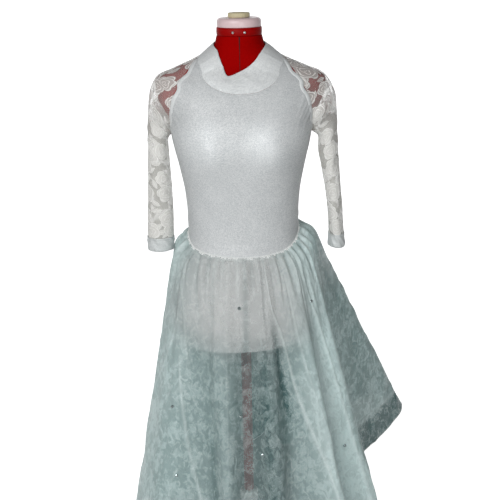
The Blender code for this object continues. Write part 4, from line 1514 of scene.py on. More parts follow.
@dataclass
class Skirt(Assembly):
    """A flared organza skirt, gathered into the waist seam and hanging in deep flutes."""

    per_fold: int = 30
    rows: int = 116
    gathers_a_fold: float = 1.5
    gather_depth: float = 0.0056
    gather_reach: float = 0.034
    # Strength of the painted highlight on gather crests and the painted shade in their troughs
    crest_highlight: float = 0.6
    trough_shade: float = 0.62
    puff: float = 0.025
    puff_reach: float = 0.035
    below_seam: float = 0.0012
    off_lower: float = 0.0006
    over_hip: float = 0.007
    pleats: int = 38
    # Painted shade in the right flute's opening below its far side's hem: first and last fold,
    # the level, and how much darker it is painted
    opening_folds: Pair = (6.2, 8.4)
    opening_level: float = 0.875
    opening_shade_depth: float = 0.55
    ridge_rise: float = 0.003
    trough_depth: float = 0.0035
    flat_waist: float = 1.25
    flat_hem: float = 3.15
    # Rows lie closer together near the waist by this power
    row_power: float = 1.25
    clear_of_form: float = 0.003
    hem_cord: float = 0.0014
    hem_sides: int = 6
    edge_points: int = 900
    # Where the cloth lies over the pale leotard: middle and half width in degrees, and levels
    over_leotard: Pair = (-6.0, 58.0)
    milky_levels: Pair = (0.33, 0.2)
    sheer_levels: Pair = (0.16, 0.4)
    # The gathered edge's rows: below the seam, off the form, and how much they are puckered
    edge_rows: tuple[Triple, ...] = (
        (0.01, 0.0032, 1.0), (0.0072, 0.0042, 1.0), (0.0042, 0.0042, 0.9),
        (0.0012, 0.003, 0.4), (-0.0006, 0.0014, 0.0),
    )

    def read(self, column: int, place: Grid) -> Grid:
        """A fold column on a smooth closed curve, at places counted in folds.

        Args:
            column: 0 for the waist's turn, 1 and 2 for the hem's x and y, 3 pale, 4 close.
            place: Places, counted in folds.

        Returns:
            The values.
        """
        count = len(SKIRT_FOLDS)
        rows = []
        for index, (waist_angle, hem_angle, radius, pale, close) in enumerate(SKIRT_FOLDS):
            turn = math.radians(hem_angle)
            rows.append((waist_angle - 360.0 * index / count, radius * math.sin(turn),
                         -radius * math.cos(turn), pale, close))
        values = np.array(rows)[:, column]
        index = np.floor(place).astype(int)
        t = place - index
        return curve([values[(index + step) % count] for step in (-1, 0, 1, 2)], t)

    @staticmethod
    def apart(place: Grid, centre: Union[float, Grid]) -> Grid:
        """How many folds lie from a centre to places, by the shorter way round."""
        count = len(SKIRT_FOLDS)
        return (place - centre + count / 2) % count - count / 2

    def gather_wave(self, place: Grid, level: Grid) -> Grid:
        """In and out of the small gathers, deepest just below the waist and uneven.

        Args:
            place: Places, counted in folds.
            level: 0 at the waist, 1 at the hem.

        Returns:
            How far the cloth stands out, in metres.
        """
        down = level / self.gather_reach
        depth = self.gather_depth * np.maximum(down * np.exp(1.0 - down), 0.1)
        gather = place * self.gathers_a_fold
        uneven = 1.0 + 0.35 * np.sin(2.3 * gather) + 0.25 * np.sin(5.1 * gather + 1.0)
        return depth * uneven * (0.6 + np.cos(2 * math.pi * gather))

    def gather_light_and_shade(self, place: Grid, level: Grid) -> tuple[Grid, Grid]:
        """Painted highlight on the gathers' crests and painted shade in their troughs, fading down.

        Args:
            place: Places, counted in folds.
            level: 0 at the waist, 1 at the hem.

        Returns:
            Both, from 0 to 1.
        """
        gather = place * self.gathers_a_fold
        wave = 0.5 + 0.5 * np.cos(2 * math.pi * gather)
        uneven = 0.6 + 0.4 * np.sin(1.7 * gather + 0.8)
        length = 0.075 + 0.035 * np.sin(2.9 * gather)
        fade = smooth_step(0.0, 0.012, level) * np.exp(-(level / length) ** 2) * uneven
        return self.crest_highlight * fade * wave ** 4, self.trough_shade * fade * (1.0 - wave) ** 3

    def pleat_rise(self, place: Grid, level: Grid) -> Grid:
        """Soft folds that run down from the gathers, each of its own length and depth.

        Args:
            place: Places, counted in folds.
            level: 0 at the waist, 1 at the hem.

        Returns:
            How far the cloth stands out, in metres.
        """
        count = len(SKIRT_FOLDS)
        rise = np.zeros(np.broadcast(place, level).shape)
        for index in range(self.pleats):
            centre = index * count / self.pleats + 0.2 * math.sin(2.7 * index)
            length = 0.27 + 0.15 * math.sin(1.9 * index + 0.6)
            width = 0.13 + 0.05 * math.sin(4.1 * index)
            depth = 0.0056 + 0.0026 * math.sin(3.3 * index)
            drift = 0.1 * math.sin(2.2 * index) * level
            apart = self.apart(place, centre + drift)
            reach = smooth_step(0.0, 0.03, level) * np.exp(-(level / length) ** 2)
            rise = rise + depth * reach * np.exp(-(apart / (width * (1.0 + level))) ** 2)
        return rise

    def crumples(self, grid: Grid, level: Grid) -> Grid:
        """Crisp small dents, stronger towards the hem.

        Args:
            grid: Points, rows by columns by 3.
            level: 0 at the waist, 1 at the hem.

        Returns:
            How far the cloth stands out, in metres.
        """
        soft = noise_field(grid, (0.04, 0.04, 0.085), 3.0)
        sharp = 1.0 - 2.0 * np.abs(noise_field(grid, (0.026, 0.026, 0.046), 11.0))
        amount = smooth_step(0.02, 0.25, level)
        return amount * (0.0032 * soft + 0.0018 * sharp * (0.4 + 0.6 * level))

    def shape(self) -> tuple[Grid, Grid, Grid]:
        """The skirt's points from the hem up to the waist, with their places and levels.

        Returns:
            The points, the places and the levels.
        """
        count = len(SKIRT_FOLDS)
        place = np.arange(count * self.per_fold)[None, :] / self.per_fold
        level = (np.linspace(1.0, 0.0, self.rows) ** self.row_power)[:, None]
        angle = 360.0 * place / count + self.read(0, place)
        waist_z = seam_height(WAIST_SEAM, angle) - self.below_seam
        waist = Body.off(angle, waist_z, FORM_TO_CLOTH + LOWER_WALL + self.off_lower)
        hem = np.stack((self.read(1, place), self.read(2, place)), axis=-1)
        across = hem - waist[..., :2]
        drop = np.sqrt(SKIRT_LENGTH ** 2 - (across ** 2).sum(-1))
        flat = waist[..., :2] + across * level[..., None]
        z = waist[..., 2] - drop * level
        swell = self.puff * (1.0 - np.exp(-level / self.puff_reach)) * (1.0 - level) ** 0.8
        normal = unit(Body.normal(angle, waist_z)[..., :2])
        share = np.minimum(level * 3.0, 1.0)[..., None]
        outward = unit(lerp(normal, unit(flat), share))
        wave = self.gather_wave(place, level) + self.pleat_rise(place, level)
        flat = flat + outward * (swell + wave + ORGANZA_WALL)[..., None]
        direction, radius = unit(flat), np.linalg.norm(flat, axis=-1)
        least = Body.radius(direction, z) + self.clear_of_form
        least = least + self.over_hip * np.minimum(level / 0.05, 1.0)
        soft = 0.006 * np.minimum(level / 0.1, 1.0)
        eased = (radius + least + np.sqrt((radius - least) ** 2 + soft ** 2)) / 2
        radius = np.where(level > 0.0, eased, radius)
        grid = np.concatenate((direction * radius[..., None], z[..., None]), axis=-1)
        level = np.broadcast_to(level, z.shape)
        return grid, np.broadcast_to(place, z.shape), level

    @staticmethod
    def fold_lines(table: Table, place: Grid, level: Grid) -> Grid:
        """Where the folds of a table run down the skirt, from 0 to 1.

        Args:
            table: The ridges or the shadows.
            place: Places, counted in folds.
            level: 0 at the waist, 1 at the hem.

        Returns:
            The strength at each point.
        """
        lines = np.zeros(place.shape)
        for width, strength, path in table:
            top, bottom = path[0][0], path[-1][0]
            apart = Skirt.apart(place, smooth_read(path, 1, level))
            reach = (smooth_step(top - 0.06, top + 0.06, level)
                     * smooth_step(bottom + 0.06, bottom - 0.06, level))
            lines = np.maximum(lines, strength * reach * np.exp(-(apart / width) ** 2))
        return lines

    def opening_shade_and_hem(self, place: Grid, level: Grid) -> tuple[Grid, Grid]:
        """Painted shade in the right flute's opening, and the far hem's line above that.

        Args:
            place: Places, counted in folds.
            level: 0 at the waist, 1 at the hem.

        Returns:
            Both, from 0 to 1.
        """
        first, last = self.opening_folds
        folds = smooth_step(first, first + 0.9, place) * smooth_step(last, last - 0.5, place)
        edge = self.opening_level + 0.035 * (place - (first + last) / 2) ** 2
        return (folds * smooth_step(edge - 0.015, edge + 0.03, level),
                folds * 0.6 * np.exp(-((level - edge) / 0.006) ** 2))

    def build(self) -> Piece:
        """Make the skirt, its rolled hem and the gathered edge at its waist.

        Returns:
            The skirt.
        """
        grid, place, level = self.shape()
        normals = grid_normals(grid, ring=True)
        crest, trough = self.gather_light_and_shade(place, level)
        # Ridges and gather crests raise the cloth and carry painted highlight; shadows and troughs sink it
        # with painted shade
        ridge = np.maximum(self.fold_lines(HIGHLIT_RIDGES, place, level), crest)
        shadow = np.maximum(self.fold_lines(SHADOWS, place, level), trough)
        folds = (self.ridge_rise * ridge - self.trough_depth * shadow) * smooth_step(0.0, 0.05, level)
        rise = self.crumples(grid, level) + folds
        grid = grid + normals * rise[..., None]
        pale = np.clip(self.read(3, place), -0.2, 1.0)
        close = np.clip(self.read(4, place), 0.2, 0.99)
        turn = np.degrees(np.arctan2(grid[..., 0], -grid[..., 1]))
        middle, half = self.over_leotard
        over_body = (np.exp(-((turn - middle) / half) ** 4)
                     + 0.8 * np.exp(-((np.abs(turn) - 180.0) / half) ** 4))
        bright = smooth_step(*self.milky_levels, level) * (0.06 + 0.74 * over_body)
        # Painted shadows also dim the milky look and make the organza less sheer
        bright = bright * (1.0 - 0.8 * shadow)
        close = lerp(0.76 - 0.42 * over_body + 0.14 * shadow, close + 0.5 * shadow * (1.0 - close),
                     smooth_step(*self.sheer_levels, level))
        # Painted shade in the right flute's opening and in shadows darkens each point's paleness
        single, far_hem = self.opening_shade_and_hem(place, level)
        tone = pale * (1.0 - 0.78 * shadow) - 0.2 * shadow ** 2 - self.opening_shade_depth * single
        values = {"pale": tone, "close": close, "bright": bright, "ridge": np.maximum(ridge, far_hem)}
        up = lengths_along(grid, 0)
        u = np.concatenate((place, place[:, :1] + len(SKIRT_FOLDS)), axis=1)
        u = u / len(SKIRT_FOLDS) * self.flat_hem
        v = np.concatenate((up, up[:, :1]), axis=1)
        made = self.maker.cloth("skirt", grid, np.stack((u, v), -1), self.looks["organza"],
                                "organza", ring=True,
                                values={title: numbers.astype(np.float32)
                                        for title, numbers in values.items()})
        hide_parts(*SKIRT_GORES)
        hem = self.maker.tube("skirt_hem", pipe_rings(grid[0], self.hem_cord, self.hem_sides, closed=True),
                              self.looks["hem"], "organza", capped=False)
        edge = self.waist_edge()
        area = (self.flat_waist + self.flat_hem) / 2 * SKIRT_LENGTH
        return made

    def waist_edge(self) -> Piece:
        """Make the narrow puckered edge where the gathers are sewn in.

        Returns:
            The edge.
        """
        angle = np.linspace(-180.0, 180.0, self.edge_points, endpoint=False)
        turn = np.radians(angle)
        ruck = (0.5 + 0.5 * np.sin(turn * 128.0 + 1.6 * np.sin(turn * 31.0))) * (
            0.7 + 0.3 * np.sin(turn * 17.0 + 0.8))
        seam = seam_height(WAIST_SEAM, angle)
        rows = []
        for step, (down, off, share) in enumerate(self.edge_rows):
            dip = (0.0018 * np.sin(turn * 64.0 + step) + 0.0016 * np.sin(turn * 23.0)) * share
            rows.append(Body.off(angle, seam - down + dip,
                                 FORM_TO_CLOTH + off + 0.0024 * ruck * share))
        grid = np.array(rows)
        return self.maker.cloth("skirt_gathered_edge", grid, flat_ring(grid, self.flat_waist),
                                self.looks["hem"], "organza", ring=True)


@dataclass
class SeamBands(Assembly):
    """Raised bands along the raglan seams, and the row of stitches under the neckband."""

    width: float = 0.0085
    rise: float = 0.0014
    steps: int = 90
    across: int = 9
    # Half length, width and height of a stitch, which is a long diamond
    stitch: Triple = (0.0016, 0.0004, 0.00035)
    stitch_faces: tuple[tuple[int, int, int], ...] = (
        (0, 2, 4), (2, 1, 4), (1, 3, 4), (3, 0, 4), (2, 0, 5), (1, 2, 5), (3, 1, 5), (0, 3, 5),
    )
    stitch_lift: float = 0.0002
    stitches: int = 150
    below_neck: float = 0.0035
    # Where a band starts and ends, from 1 at the armpit to 2 at the neck
    levels: Pair = (1.04, 1.998)
    # Share of its width that lies past the seam, and how far its edges are sunk
    overlap: float = 0.06
    sunk: float = 0.0003

    def band(self, name: str, table: Table, side: int) -> None:
        """Make one raglan band, on the bodice's side of the seam.

        Args:
            name: The piece's name.
            table: The raglan seam.
            side: 1 towards +X, -1 towards -X.
        """
        level = np.linspace(*self.levels, self.steps)
        angle, z = panel_side(table, level, side)
        path = Body.off(angle, z, FORM_TO_CLOTH + BODICE_WALL)
        normal = Body.normal(angle, z)
        inward = unit(np.cross(unit(np.gradient(path, axis=0)), normal))
        inward = inward * np.sign(-side * inward[..., :1])
        share = np.linspace(-self.overlap, 1.0, self.across)
        if side * (1 if table is FRONT_RAGLAN else -1) > 0:
            share = share[::-1]
        over = 2.0 * (share + self.overlap) / (1.0 + self.overlap) - 1.0
        lift = self.rise * np.sqrt(np.clip(1.0 - over ** 2, 0.0, 1.0))
        tuck = np.minimum(1.0, np.minimum(np.arange(self.steps), np.arange(self.steps)[::-1]) / 4)
        grid = (path[:, None] + inward[:, None] * (share * self.width)[None, :, None]
                + normal[:, None] * ((lift[None, :] * tuck[:, None]) - self.sunk)[..., None])
        self.maker.cloth(name, grid, flat_sheet(grid), self.looks["band"], "shimmer_stretch")

    def neck_stitches(self) -> None:
        """Make the stitches that hold the neckband's seam, as one mesh."""
        long, wide, high = self.stitch
        angle = np.arange(self.stitches) * 360.0 / self.stitches - 180.0
        z = seam_height(NECK_SEAM, angle) - self.below_neck
        next_z = seam_height(NECK_SEAM, angle + 1.0) - self.below_neck
        centre = Body.off(angle, z, FORM_TO_CLOTH + BODICE_WALL + self.stitch_lift)
        along = unit(Body.surface(angle + 1.0, next_z) - Body.surface(angle, z))
        out = Body.normal(angle, z)
        up = np.cross(out, along)
        corners = np.stack((-along * long, along * long, -up * wide, up * wide, out * high, -out * high),
                           axis=1)
        points = (centre[:, None] + corners).reshape(-1, 3)
        faces = [tuple(6 * index + corner for corner in face)
                 for index in range(self.stitches) for face in self.stitch_faces]
        self.maker.piece("neck_stitches", points, faces, self.looks["thread"], "shimmer_stretch")

    def build(self) -> None:
        """Make all four bands and the stitches."""
        for side, hand in ((-1, "left_of_view"), (1, "right_of_view")):
            self.band(f"raglan_band_front_{hand}", FRONT_RAGLAN, side)
            self.band(f"raglan_band_back_{hand}", BACK_RAGLAN, side)
        self.neck_stitches()


@dataclass
class Viewer:
    """The photograph's camera, seen from the pole's axis."""

    pole: Vector
    distance: float = 1.8
    height: float = 1.56
    pitch: float = 19.7
    roll: float = -1.25
    lens: float = 58.9
    sensor: float = 36.0
    shift_x: float = 0.0122
    frame_pixels: int = 500

    def matrix(self) -> Matrix:
        """Where the camera stands and looks.

        Returns:
            The camera's matrix.
        """
        place = Matrix.Translation(self.pole + Vector((0.0, -self.distance, self.height)))
        tilt = Matrix.Rotation(math.radians(90.0 - self.pitch), 4, "X")
        return place @ tilt @ Matrix.Rotation(math.radians(self.roll), 4, "Z")

    def ray(self, pixel: Sequence[float]) -> tuple[Vector, Vector]:
        """The line of sight of a pixel of the photograph, from the camera outwards.

        Args:
            pixel: How far across and down it is.

        Returns:
            The camera's place, and a unit vector.
        """
        focal = self.lens / self.sensor * self.frame_pixels
        middle = self.frame_pixels / 2
        local = Vector(((pixel[0] - middle + self.shift_x * self.frame_pixels) / focal,
                        (middle - pixel[1]) / focal, -1.0))
        matrix = self.matrix()
        return matrix.translation.copy(), (matrix.to_3x3() @ local).normalized()

    def build(self) -> None:
        """Set the scene's camera."""
        data = bpy.data.cameras.new("viewer")
        data.lens, data.sensor_width = self.lens, self.sensor
        data.shift_x = self.shift_x
        made = placed("viewer", data)
        made.matrix_world = self.matrix()
        bpy.context.scene.camera = made


@dataclass
class Rhinestones(Assembly):
    """Faceted stones scattered on the skirt, each seated on the cloth."""

    radius: float = 0.0044
    height: float = 0.003
    facets: int = 8
    # Shares of the radius and the height at each ring of corners, and how far it is sunk
    rings: tuple[Pair, ...] = ((1.0, 0.0), (1.0, 0.18), (0.8, 0.62), (0.46, 1.0))
    sunk: float = 0.0002
    photo_pixels: tuple[Pair, ...] = (
        (239.3, 308.5), (311.5, 301.0), (172.5, 406.5), (176.7, 475.5), (241.0, 416.5),
        (344.7, 445.5), (262.5, 455.0),
    )
    # Angle and height of the stones on the hidden sides
    hidden: tuple[Pair, ...] = (
        (150, 0.76), (200, 0.64), (172, 0.43), (235, 0.52), (120, 0.56), (222, 0.33),
    )

    @staticmethod
    def seat(tree: BVHTree, start: Vector, along: Vector) -> Optional[tuple[Vector, Vector]]:
        """Where a line first meets the skirt, with the cloth's normal turned to its start.

        Args:
            tree: The skirt's faces.
            start: Where the line starts.
            along: The way that it goes.

        Returns:
            The place and the normal, if there is one.
        """
        place, normal, _face, _distance = tree.ray_cast(start, along)
        if place is None:
            return None
        return place, normal if normal.dot(along) < 0.0 else -normal

    def build(self, viewer: Viewer, skirt: Piece) -> None:
        """Make the stones as one mesh on the skirt.

        Args:
            viewer: The photograph's camera.
            skirt: The skirt that they lie on.
        """
        data = skirt.data
        tree = BVHTree.FromPolygons([vertex.co for vertex in data.vertices],
                                    [polygon.vertices for polygon in data.polygons])
        lines = [viewer.ray(pixel) for pixel in self.photo_pixels]
        for angle, z in self.hidden:
            turn = math.radians(angle)
            out = Vector((math.sin(turn), -math.cos(turn), 0.0))
            lines.append((self.maker.pole + out + Vector((0.0, 0.0, z)), -out))
        points, faces = [], []
        for start, along in lines:
            seat = self.seat(tree, start, along)
            if seat is None:
                LOG.warning("a stone found no cloth")
                continue
            place, normal = seat
            side = normal.orthogonal().normalized()
            over = normal.cross(side)
            first = len(points)
            for ring, (share, rise) in enumerate(self.rings):
                for facet in range(self.facets):
                    turn = 2 * math.pi * (facet + 0.5 * (ring % 2)) / self.facets
                    points.append(place + (side * math.cos(turn) + over * math.sin(turn))
                                  * self.radius * share + normal * (self.height * rise - self.sunk))
            for ring in range(len(self.rings) - 1):
                for facet in range(self.facets):
                    after = (facet + 1) % self.facets
                    low, high = first + ring * self.facets, first + (ring + 1) * self.facets
                    faces.append((low + facet, low + after, high + after, high + facet))
            top = first + (len(self.rings) - 1) * self.facets
            faces.append(tuple(top + facet for facet in range(self.facets)))
            faces.append(tuple(first + facet for facet in reversed(range(self.facets))))
        stones = np.array([list(point - self.maker.pole) for point in points])
        made = self.maker.piece("rhinestones", stones, faces, self.looks["stone"], "organza")
        made.data.shade_flat()


@dataclass
class DressForm(Assembly):
    """The limbless form: torso with a neck, a neck ring, a cap and a dial."""

    torso_inset: float = 0.0027
    neck_start: float = 1.38
    neck_full: float = 1.396
    ring: Triple = (0.0485, 1.4043, 1.421)
    cap: tuple[float, float, float, float] = (0.0475, 1.4213, 1.44, 0.008)
    dial: Triple = (0.0235, 1.4403, 1.45)
    rows: int = 150
    around: int = 144
    knurls: int = 36
    knurl_depth: float = 0.0007
    # The dial's top: share of its radius, and how far down
    dial_top: tuple[Pair, ...] = (
        (1.0, 0.0018), (0.97, 0.0006), (0.92, 0.0), (0.55, 0.0), (0.52, 0.0008), (0.3, 0.0008),
    )
    rivet_angles: Pair = (-16.0, 13.5)
    rivet_z: float = 1.4122
    # A rivet's rings: radius, and how far out
    rivet_rings: tuple[Pair, ...] = (
        (0.003, -0.0006), (0.003, 0.0006), (0.0025, 0.0013), (0.0016, 0.0018), (0.001, 0.001),
        (0.0005, 0.0009),
    )
    # Heights of the neck's dark seam, and how many steps it has
    seam_heights: Pair = (1.4035, 1.322)
    seam_steps: int = 40
    seam_width: float = 0.0012

    def torso(self) -> None:
        """Make the padded torso, closed below and at the neck."""
        low, high = BODY_ROWS[0][0], BODY_ROWS[-1][0]
        turns = np.linspace(0.0, 360.0, self.around, endpoint=False)
        rings = []
        for z in np.linspace(low, high, self.rows):
            inset = self.torso_inset * (1.0 - float(smooth_step(self.neck_start, self.neck_full, z)))
            ring = Body.off(turns, np.full(self.around, z), -inset)
            ring[:, 2] = z
            rings.append(ring)
        made = self.maker.tube("form_cover", np.array(rings), self.looks["jersey"], "red_form")
        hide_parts("form_torso")

    def neck_seam(self) -> None:
        """Make the dark seam down the middle of the neck, in front and behind."""
        for name, angle in (("form_seam_front", 0.0), ("form_seam_back", 180.0)):
            z = np.linspace(*self.seam_heights, self.seam_steps)
            inset = self.torso_inset * (1.0 - smooth_step(self.neck_start, self.neck_full, z))
            path = Body.off(np.full(self.seam_steps, angle), z, 0.0001 - inset)
            rings = []
            for point, next_z in zip(path, z):
                width = self.seam_width * (0.55 + 0.45 * float(smooth_step(1.37, 1.4, next_z)))
                out = np.array((0.0, -1.0 if angle == 0.0 else 1.0, 0.0))
                wide = np.array((1.0, 0.0, 0.0)) * (1.0 if angle == 0.0 else -1.0)
                rings.append([point - wide * width, point + out * 0.0005 - wide * width * 0.4,
                              point + out * 0.0005 + wide * width * 0.4, point + wide * width,
                              point - out * 0.0006])
            self.maker.tube(name, np.array(rings), self.looks["dark_thread"], "red_form")

    def neck_ring(self) -> None:
        """Make the ring above the neck, with eased edges."""
        radius, low, high = self.ring
        made = self.maker.turned("form_ring", ((radius - EASE, low), (radius, low + EASE),
                                               (radius + 0.0004, (low + high) / 2),
                                               (radius, high - EASE), (radius - EASE, high)),
                                 self.looks["ring"], "red_form", 96)
        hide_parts("form_neck_ring")

    def crown(self) -> None:
        """Make the rounded cap and the knurled dial on it."""
        radius, low, high, soft = self.cap
        profile = [(radius - 0.001, low), (radius - 0.0003, low + 0.0006), (radius, low + 0.0014)]
        profile += rim(radius, high, soft, np.linspace(0.0, math.pi / 2, 14))
        profile += [(radius * 0.62, high), (radius * 0.6, high - 0.0008), (radius * 0.545, high - 0.0008),
                    (radius * 0.53, high)]
        made = self.maker.turned("cap", profile, self.looks["cap"], "pink_cap", 96)
        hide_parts("form_cap")
        radius, low, high = self.dial
        around = np.linspace(0.0, 2 * math.pi, self.knurls * 6, endpoint=False)
        grip = self.knurl_depth * (0.5 + 0.5 * np.cos(around * self.knurls))
        rings = []
        profile = [(0.96, low), (1.0, low + 0.0006)] + [(share, high - down) for share, down in self.dial_top]
        for share, z in profile:
            reach = radius * share - (grip if share > 0.9 else 0.0)
            rings.append(np.stack((reach * np.cos(around), reach * np.sin(around),
                                   np.full(len(around), z)), -1))
        made = self.maker.tube("dial", np.array(rings), self.looks["dial"], "cream_dial")
        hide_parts("form_dial")

    def rivets(self) -> None:
        """Make the two silver rivets on the front of the ring."""
        radius = self.ring[0]
        for name, angle in zip(("rivet_left_of_view", "rivet_right_of_view"), self.rivet_angles):
            turn = math.radians(angle)
            out = np.array((math.sin(turn), -math.cos(turn), 0.0))
            wide = np.array((math.cos(turn), math.sin(turn), 0.0))
            up = np.array((0.0, 0.0, 1.0))
            centre = out * (radius + 0.0002) + up * self.rivet_z
            rings = []
            turns = np.linspace(0.0, 2 * math.pi, 20, endpoint=False)[:, None]
            for size, rise in self.rivet_rings:
                rings.append(centre + out * rise + size * (wide * np.cos(turns) + up * np.sin(turns)))
            self.maker.tube(name, np.array(rings), self.looks["rivet"], "red_form")

    def build(self) -> None:
        """Make the whole form."""
        self.torso()
        self.neck_seam()
        self.neck_ring()
        self.crown()
        self.rivets()


@dataclass
class Stand(Assembly):
    """The form's pole, its hub and five curved legs on round feet."""

    pole_radius: float = 0.0125
    hub_radius: float = 0.0225
    hub: Triple = (0.15, 0.257, 0.006)
    legs: int = 5
    leg_reach: float = 0.235
    leg_radius: float = 0.0085
    leg_top: float = 0.185
    foot: Pair = (0.014, 0.01)
    gap: float = 0.0003
    steps: int = 30
    sides: int = 20

    def column(self) -> None:
        """Make the pole and the hub that it stands in."""
        low, high, soft = self.hub
        made = self.maker.turned("pole", ((self.pole_radius, high + self.gap),
                                          (self.pole_radius, BODY_ROWS[0][0] - self.gap)),
                                 self.looks["pole"], "dark_pole", 48)
        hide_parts("stand_pole")
        radius = self.hub_radius
        profile = [(radius - 0.0015, low), (radius, low + 0.0015), (radius, high - soft)]
        profile += rim(radius, high, soft, np.linspace(0.15, math.pi / 2, 10))
        made = self.maker.turned("hub", profile, self.looks["stand"], "white_stand", 64)
        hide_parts("stand_hub")

    def leg(self, number: int) -> None:
        """Make one curved leg and its foot.

        Args:
            number: Which leg, from 0.
        """
        turn = math.radians(90.0 + 360.0 * number / self.legs)
        outward = np.array((math.cos(turn), math.sin(turn), 0.0))
        sideways = np.array((-outward[1], outward[0], 0.0))
        up = np.array((0.0, 0.0, 1.0))
        start, foot_top = self.hub_radius + self.gap, self.foot[1] + self.gap
        around = np.linspace(0.0, 2 * math.pi, self.sides, endpoint=False)[:, None]
        rings = []
        for bend in np.linspace(math.pi / 2, 0.0, self.steps):
            centre = (outward * lerp(start, self.leg_reach, math.sin(bend))
                      + up * lerp(foot_top, self.leg_top, math.cos(bend)))
            along = unit(np.array((math.cos(bend) * (self.leg_reach - start),
                                   -math.sin(bend) * (self.leg_top - foot_top))))
            across = -outward * along[1] + up * along[0]
            rings.append(centre + self.leg_radius * (across * np.cos(around)
                                                     + sideways * np.sin(around)))
        made = self.maker.tube(f"leg_{number + 1}", np.array(rings), self.looks["stand"],
                               "white_stand")
        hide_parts(f"stand_leg_{number + 1}")
        radius, height = self.foot
        centre = outward[:2] * self.leg_reach
        made = self.maker.turned(f"foot_{number + 1}", ((radius - EASE, 0.0), (radius, EASE),
                                                       (radius, height - EASE), (radius - EASE, height)),
                                 self.looks["stand"], "white_stand", 40, centre)
        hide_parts(f"stand_foot_{number + 1}")

    def build(self) -> None:
        """Make the whole stand."""
        self.column()
        for number in range(self.legs):
            self.leg(number)


class LampUse(Enum):
    """What a lamp in the studio is for."""

    KEY = "key"
    FILL = "fill"


@dataclass(frozen=True)
class Lamp:
    """A square soft light."""

    use: LampUse
    place: Triple
    aim: Triple
    size: float
    power: float

    def build(self, pole: Vector) -> None:
        """Add the light.

        Args:
            pole: Where the frame's pole stands.
        """
        data = bpy.data.lights.new(self.use.value, "AREA")
        data.size, data.energy = self.size, self.power
        made = placed(self.use.value, data)
        made.location = pole + Vector(self.place)
        way = pole + Vector(self.aim) - made.location
        made.rotation_euler = way.to_track_quat("-Z", "Y").to_euler()


@dataclass
class Studio:
    """A pale floor that curves up into a round backdrop, and plain soft light."""

    pole: Vector
    floor_radius: float = 3.2
    bend: float = 1.3
    wall_top: float = 3.6
    sides: int = 96
    tone: Triple = (0.5, 0.51, 0.51)
    # Colour of the painted shadow on the floor under the skirt
    under: Triple = (0.23, 0.27, 0.27)
    glow: float = 1.02
    world: float = 0.13
    # The glow's half width against its distance from the camera's side, and the painted shadow
    # under the skirt: its middle and its half sizes
    spread: Triple = (2.1, 0.34, 0.75)
    shade: tuple[float, float, float, float] = (0.02, 0.42, 0.37, 0.56)
    lamps: tuple[Lamp, ...] = (
        Lamp(LampUse.KEY, (-1.2, -2.8, 2.3), (0.0, 0.0, 0.9), 1.8, 69.5),
        Lamp(LampUse.FILL, (0.7, -3.0, 1.0), (0.0, 0.0, 0.5), 1.2, 17.5),
    )

    def finish(self) -> Finish:
        """The backdrop's finish, which glows behind the object, with a painted shadow under the skirt.

        Returns:
            The material.
        """
        graph = Graph("backdrop", roughness=0.9, specular_ior_level=0.0, emission_strength=self.glow)
        place = graph.stretched(graph.solid_place(), (1.0, 1.0, 1.0), (-self.pole.x, -self.pole.y, 0.0))
        x, y, _ = graph.parts(place)
        behind, narrow, wide = self.spread
        lit = (abs(x) / (y + behind)).step(wide, narrow) * y.step(0.05, 0.28)
        # Painted shadow on the floor under the skirt
        middle_x, middle_y, half_x, half_y = self.shade
        under = (abs((x - middle_x) / half_x) ** 4.0
                 + abs((y - middle_y) / half_y) ** 4.0).step(1.0, 0.4)
        graph.link(base_color=graph.mix(self.tone, self.under, under),
                   emission_color=graph.mix((0.0, 0.0, 0.0), (1.0, 1.0, 1.0), lit * (1.0 - under)))
        return graph.material

    def build(self) -> None:
        """Make the backdrop, the world and the lamps."""
        profile = [(self.floor_radius * share, 0.0) for share in (0.02, 0.3, 0.6, 1.0)]
        profile += [(self.floor_radius + self.bend * math.sin(turn), self.bend * (1 - math.cos(turn)))
                    for turn in np.linspace(0.1, math.pi / 2, 12)]
        profile.append((self.floor_radius + self.bend, self.wall_top))
        turns = np.linspace(0.0, 2 * math.pi, self.sides, endpoint=False)
        points = [(self.pole.x + radius * math.cos(turn), self.pole.y + radius * math.sin(turn),
                   z - 0.0002)
                  for radius, z in profile for turn in turns]
        faces = [(i * self.sides + j, (i + 1) * self.sides + j,
                  (i + 1) * self.sides + (j + 1) % self.sides, i * self.sides + (j + 1) % self.sides)
                 for i in range(len(profile) - 1) for j in range(self.sides)]
        faces.append(tuple(range(self.sides)))
        data = bpy.data.meshes.new("backdrop")
        data.from_pydata(points, [], faces)
        data.shade_smooth()
        data.materials.append(self.finish())
        placed("backdrop", data)
        world = bpy.data.worlds.new("studio")
        world.use_nodes = True
        world.node_tree.nodes["Background"].inputs[0].default_value = (0.95, 0.98, 1.0, 1.0)
        world.node_tree.nodes["Background"].inputs[1].default_value = self.world
        bpy.context.scene.world = world
        for lamp in self.lamps:
            lamp.build(self.pole)
        bpy.context.scene.view_settings.view_transform = "Standard"


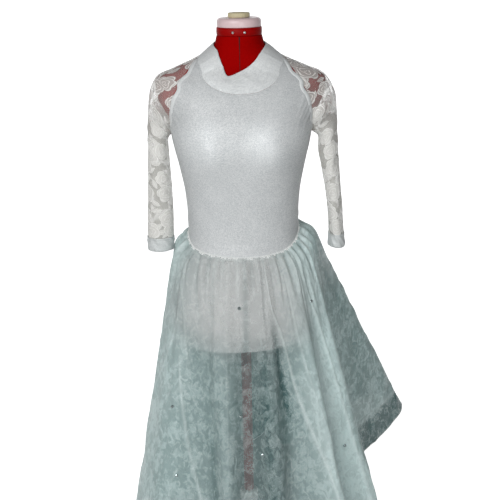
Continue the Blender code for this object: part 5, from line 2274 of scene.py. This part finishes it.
def finishes() -> dict[str, Finish]:
    """Make every finish once, by name.

    Returns:
        The materials.
    """
    made = {
        "shimmer": ShimmerStretch("shimmer_knit", painted_shade_factor=0.74).build(),
        "cuff": ShimmerStretch("cuff_knit", (0.74, 0.76, 0.76), (0.54, 0.57, 0.57)).build(),
        "band": ShimmerStretch("band_knit", (0.76, 0.775, 0.775), (0.58, 0.6, 0.605),
                               metallic=0.05).build(),
        "lower": ShimmerStretch("lower_knit", (0.8, 0.795, 0.79), (0.64, 0.635, 0.63),
                                metallic=0.0).build(),
        "lace": RoseLace("rose_lace_net").build(),
        "organza": Organza("crisp_organza").build(),
        "hem": Threads("rolled_hem").build(),
        "thread": Threads("grey_thread", tone=(0.42, 0.45, 0.45)).build(),
    }
    coatings = {
        "jersey": Coating("red_jersey", (0.31, 0.0, 0.0), (0.24, 0.0, 0.0), 0.75, 0.0009,
                          0.0002, gloss=0.03),
        "ring": Coating("red_band", (0.3, 0.0, 0.0), (0.24, 0.0, 0.0), 0.42, 0.0012,
                        0.0002, gloss=0.1),
        "dark_thread": Coating("dark_seam", (0.012, 0.003, 0.003), (0.02, 0.004, 0.004), 0.8,
                               0.0008, 0.0002),
        "cap": Coating("pink_plastic", (0.74, 0.56, 0.57), (0.66, 0.51, 0.51), 0.34, 0.004, 0.0001,
                       coat=0.3),
        "dial": Coating("cream_plastic", (0.6, 0.53, 0.33), (0.5, 0.44, 0.29), 0.42, 0.003, 0.0001),
        "rivet": Coating("rivet_steel", (0.62, 0.62, 0.62), (0.42, 0.42, 0.42), 0.22, 0.001, 0.0001,
                         metallic=1.0),
        "pole": Coating("maroon_enamel", (0.27, 0.04, 0.044), (0.33, 0.055, 0.06), 0.45, 0.003,
                        0.0001, gloss=0.25),
        "stand": Coating("white_enamel", (0.8, 0.81, 0.8), (0.7, 0.71, 0.7), 0.34, 0.003, 0.0001,
                         coat=0.25),
        "stone": Coating("clear_stone", (0.66, 0.74, 0.74), (0.2, 0.26, 0.26), 0.08, 0.006, 0.0001,
                         metallic=1.0, coat=0.5),
    }
    made.update({title: coating.build() for title, coating in coatings.items()})
    return made


def main() -> None:
    """Build the studio, the form and the garment."""
    logging.basicConfig(level=logging.INFO, format="%(name)s: %(message)s")
    maker = Maker.at_the_pole()
    viewer = Viewer(maker.pole)
    viewer.build()
    Studio(maker.pole).build()
    looks = finishes()
    DressForm(maker, looks).build()
    Stand(maker, looks).build()
    Bodice(maker, looks).build()
    Neckband(maker, looks).build()
    LowerLeotard(maker, looks).build()
    for side in (-1, 1):
        Sleeve(maker, looks, side).build()
        Cuff(maker, looks, side).build()
    SeamBands(maker, looks).build()
    skirt = Skirt(maker, looks).build()
    Rhinestones(maker, looks).build(viewer, skirt)
    LOG.info("triangles in all: %d", maker.triangles)


if __name__ == "__main__":
    main()
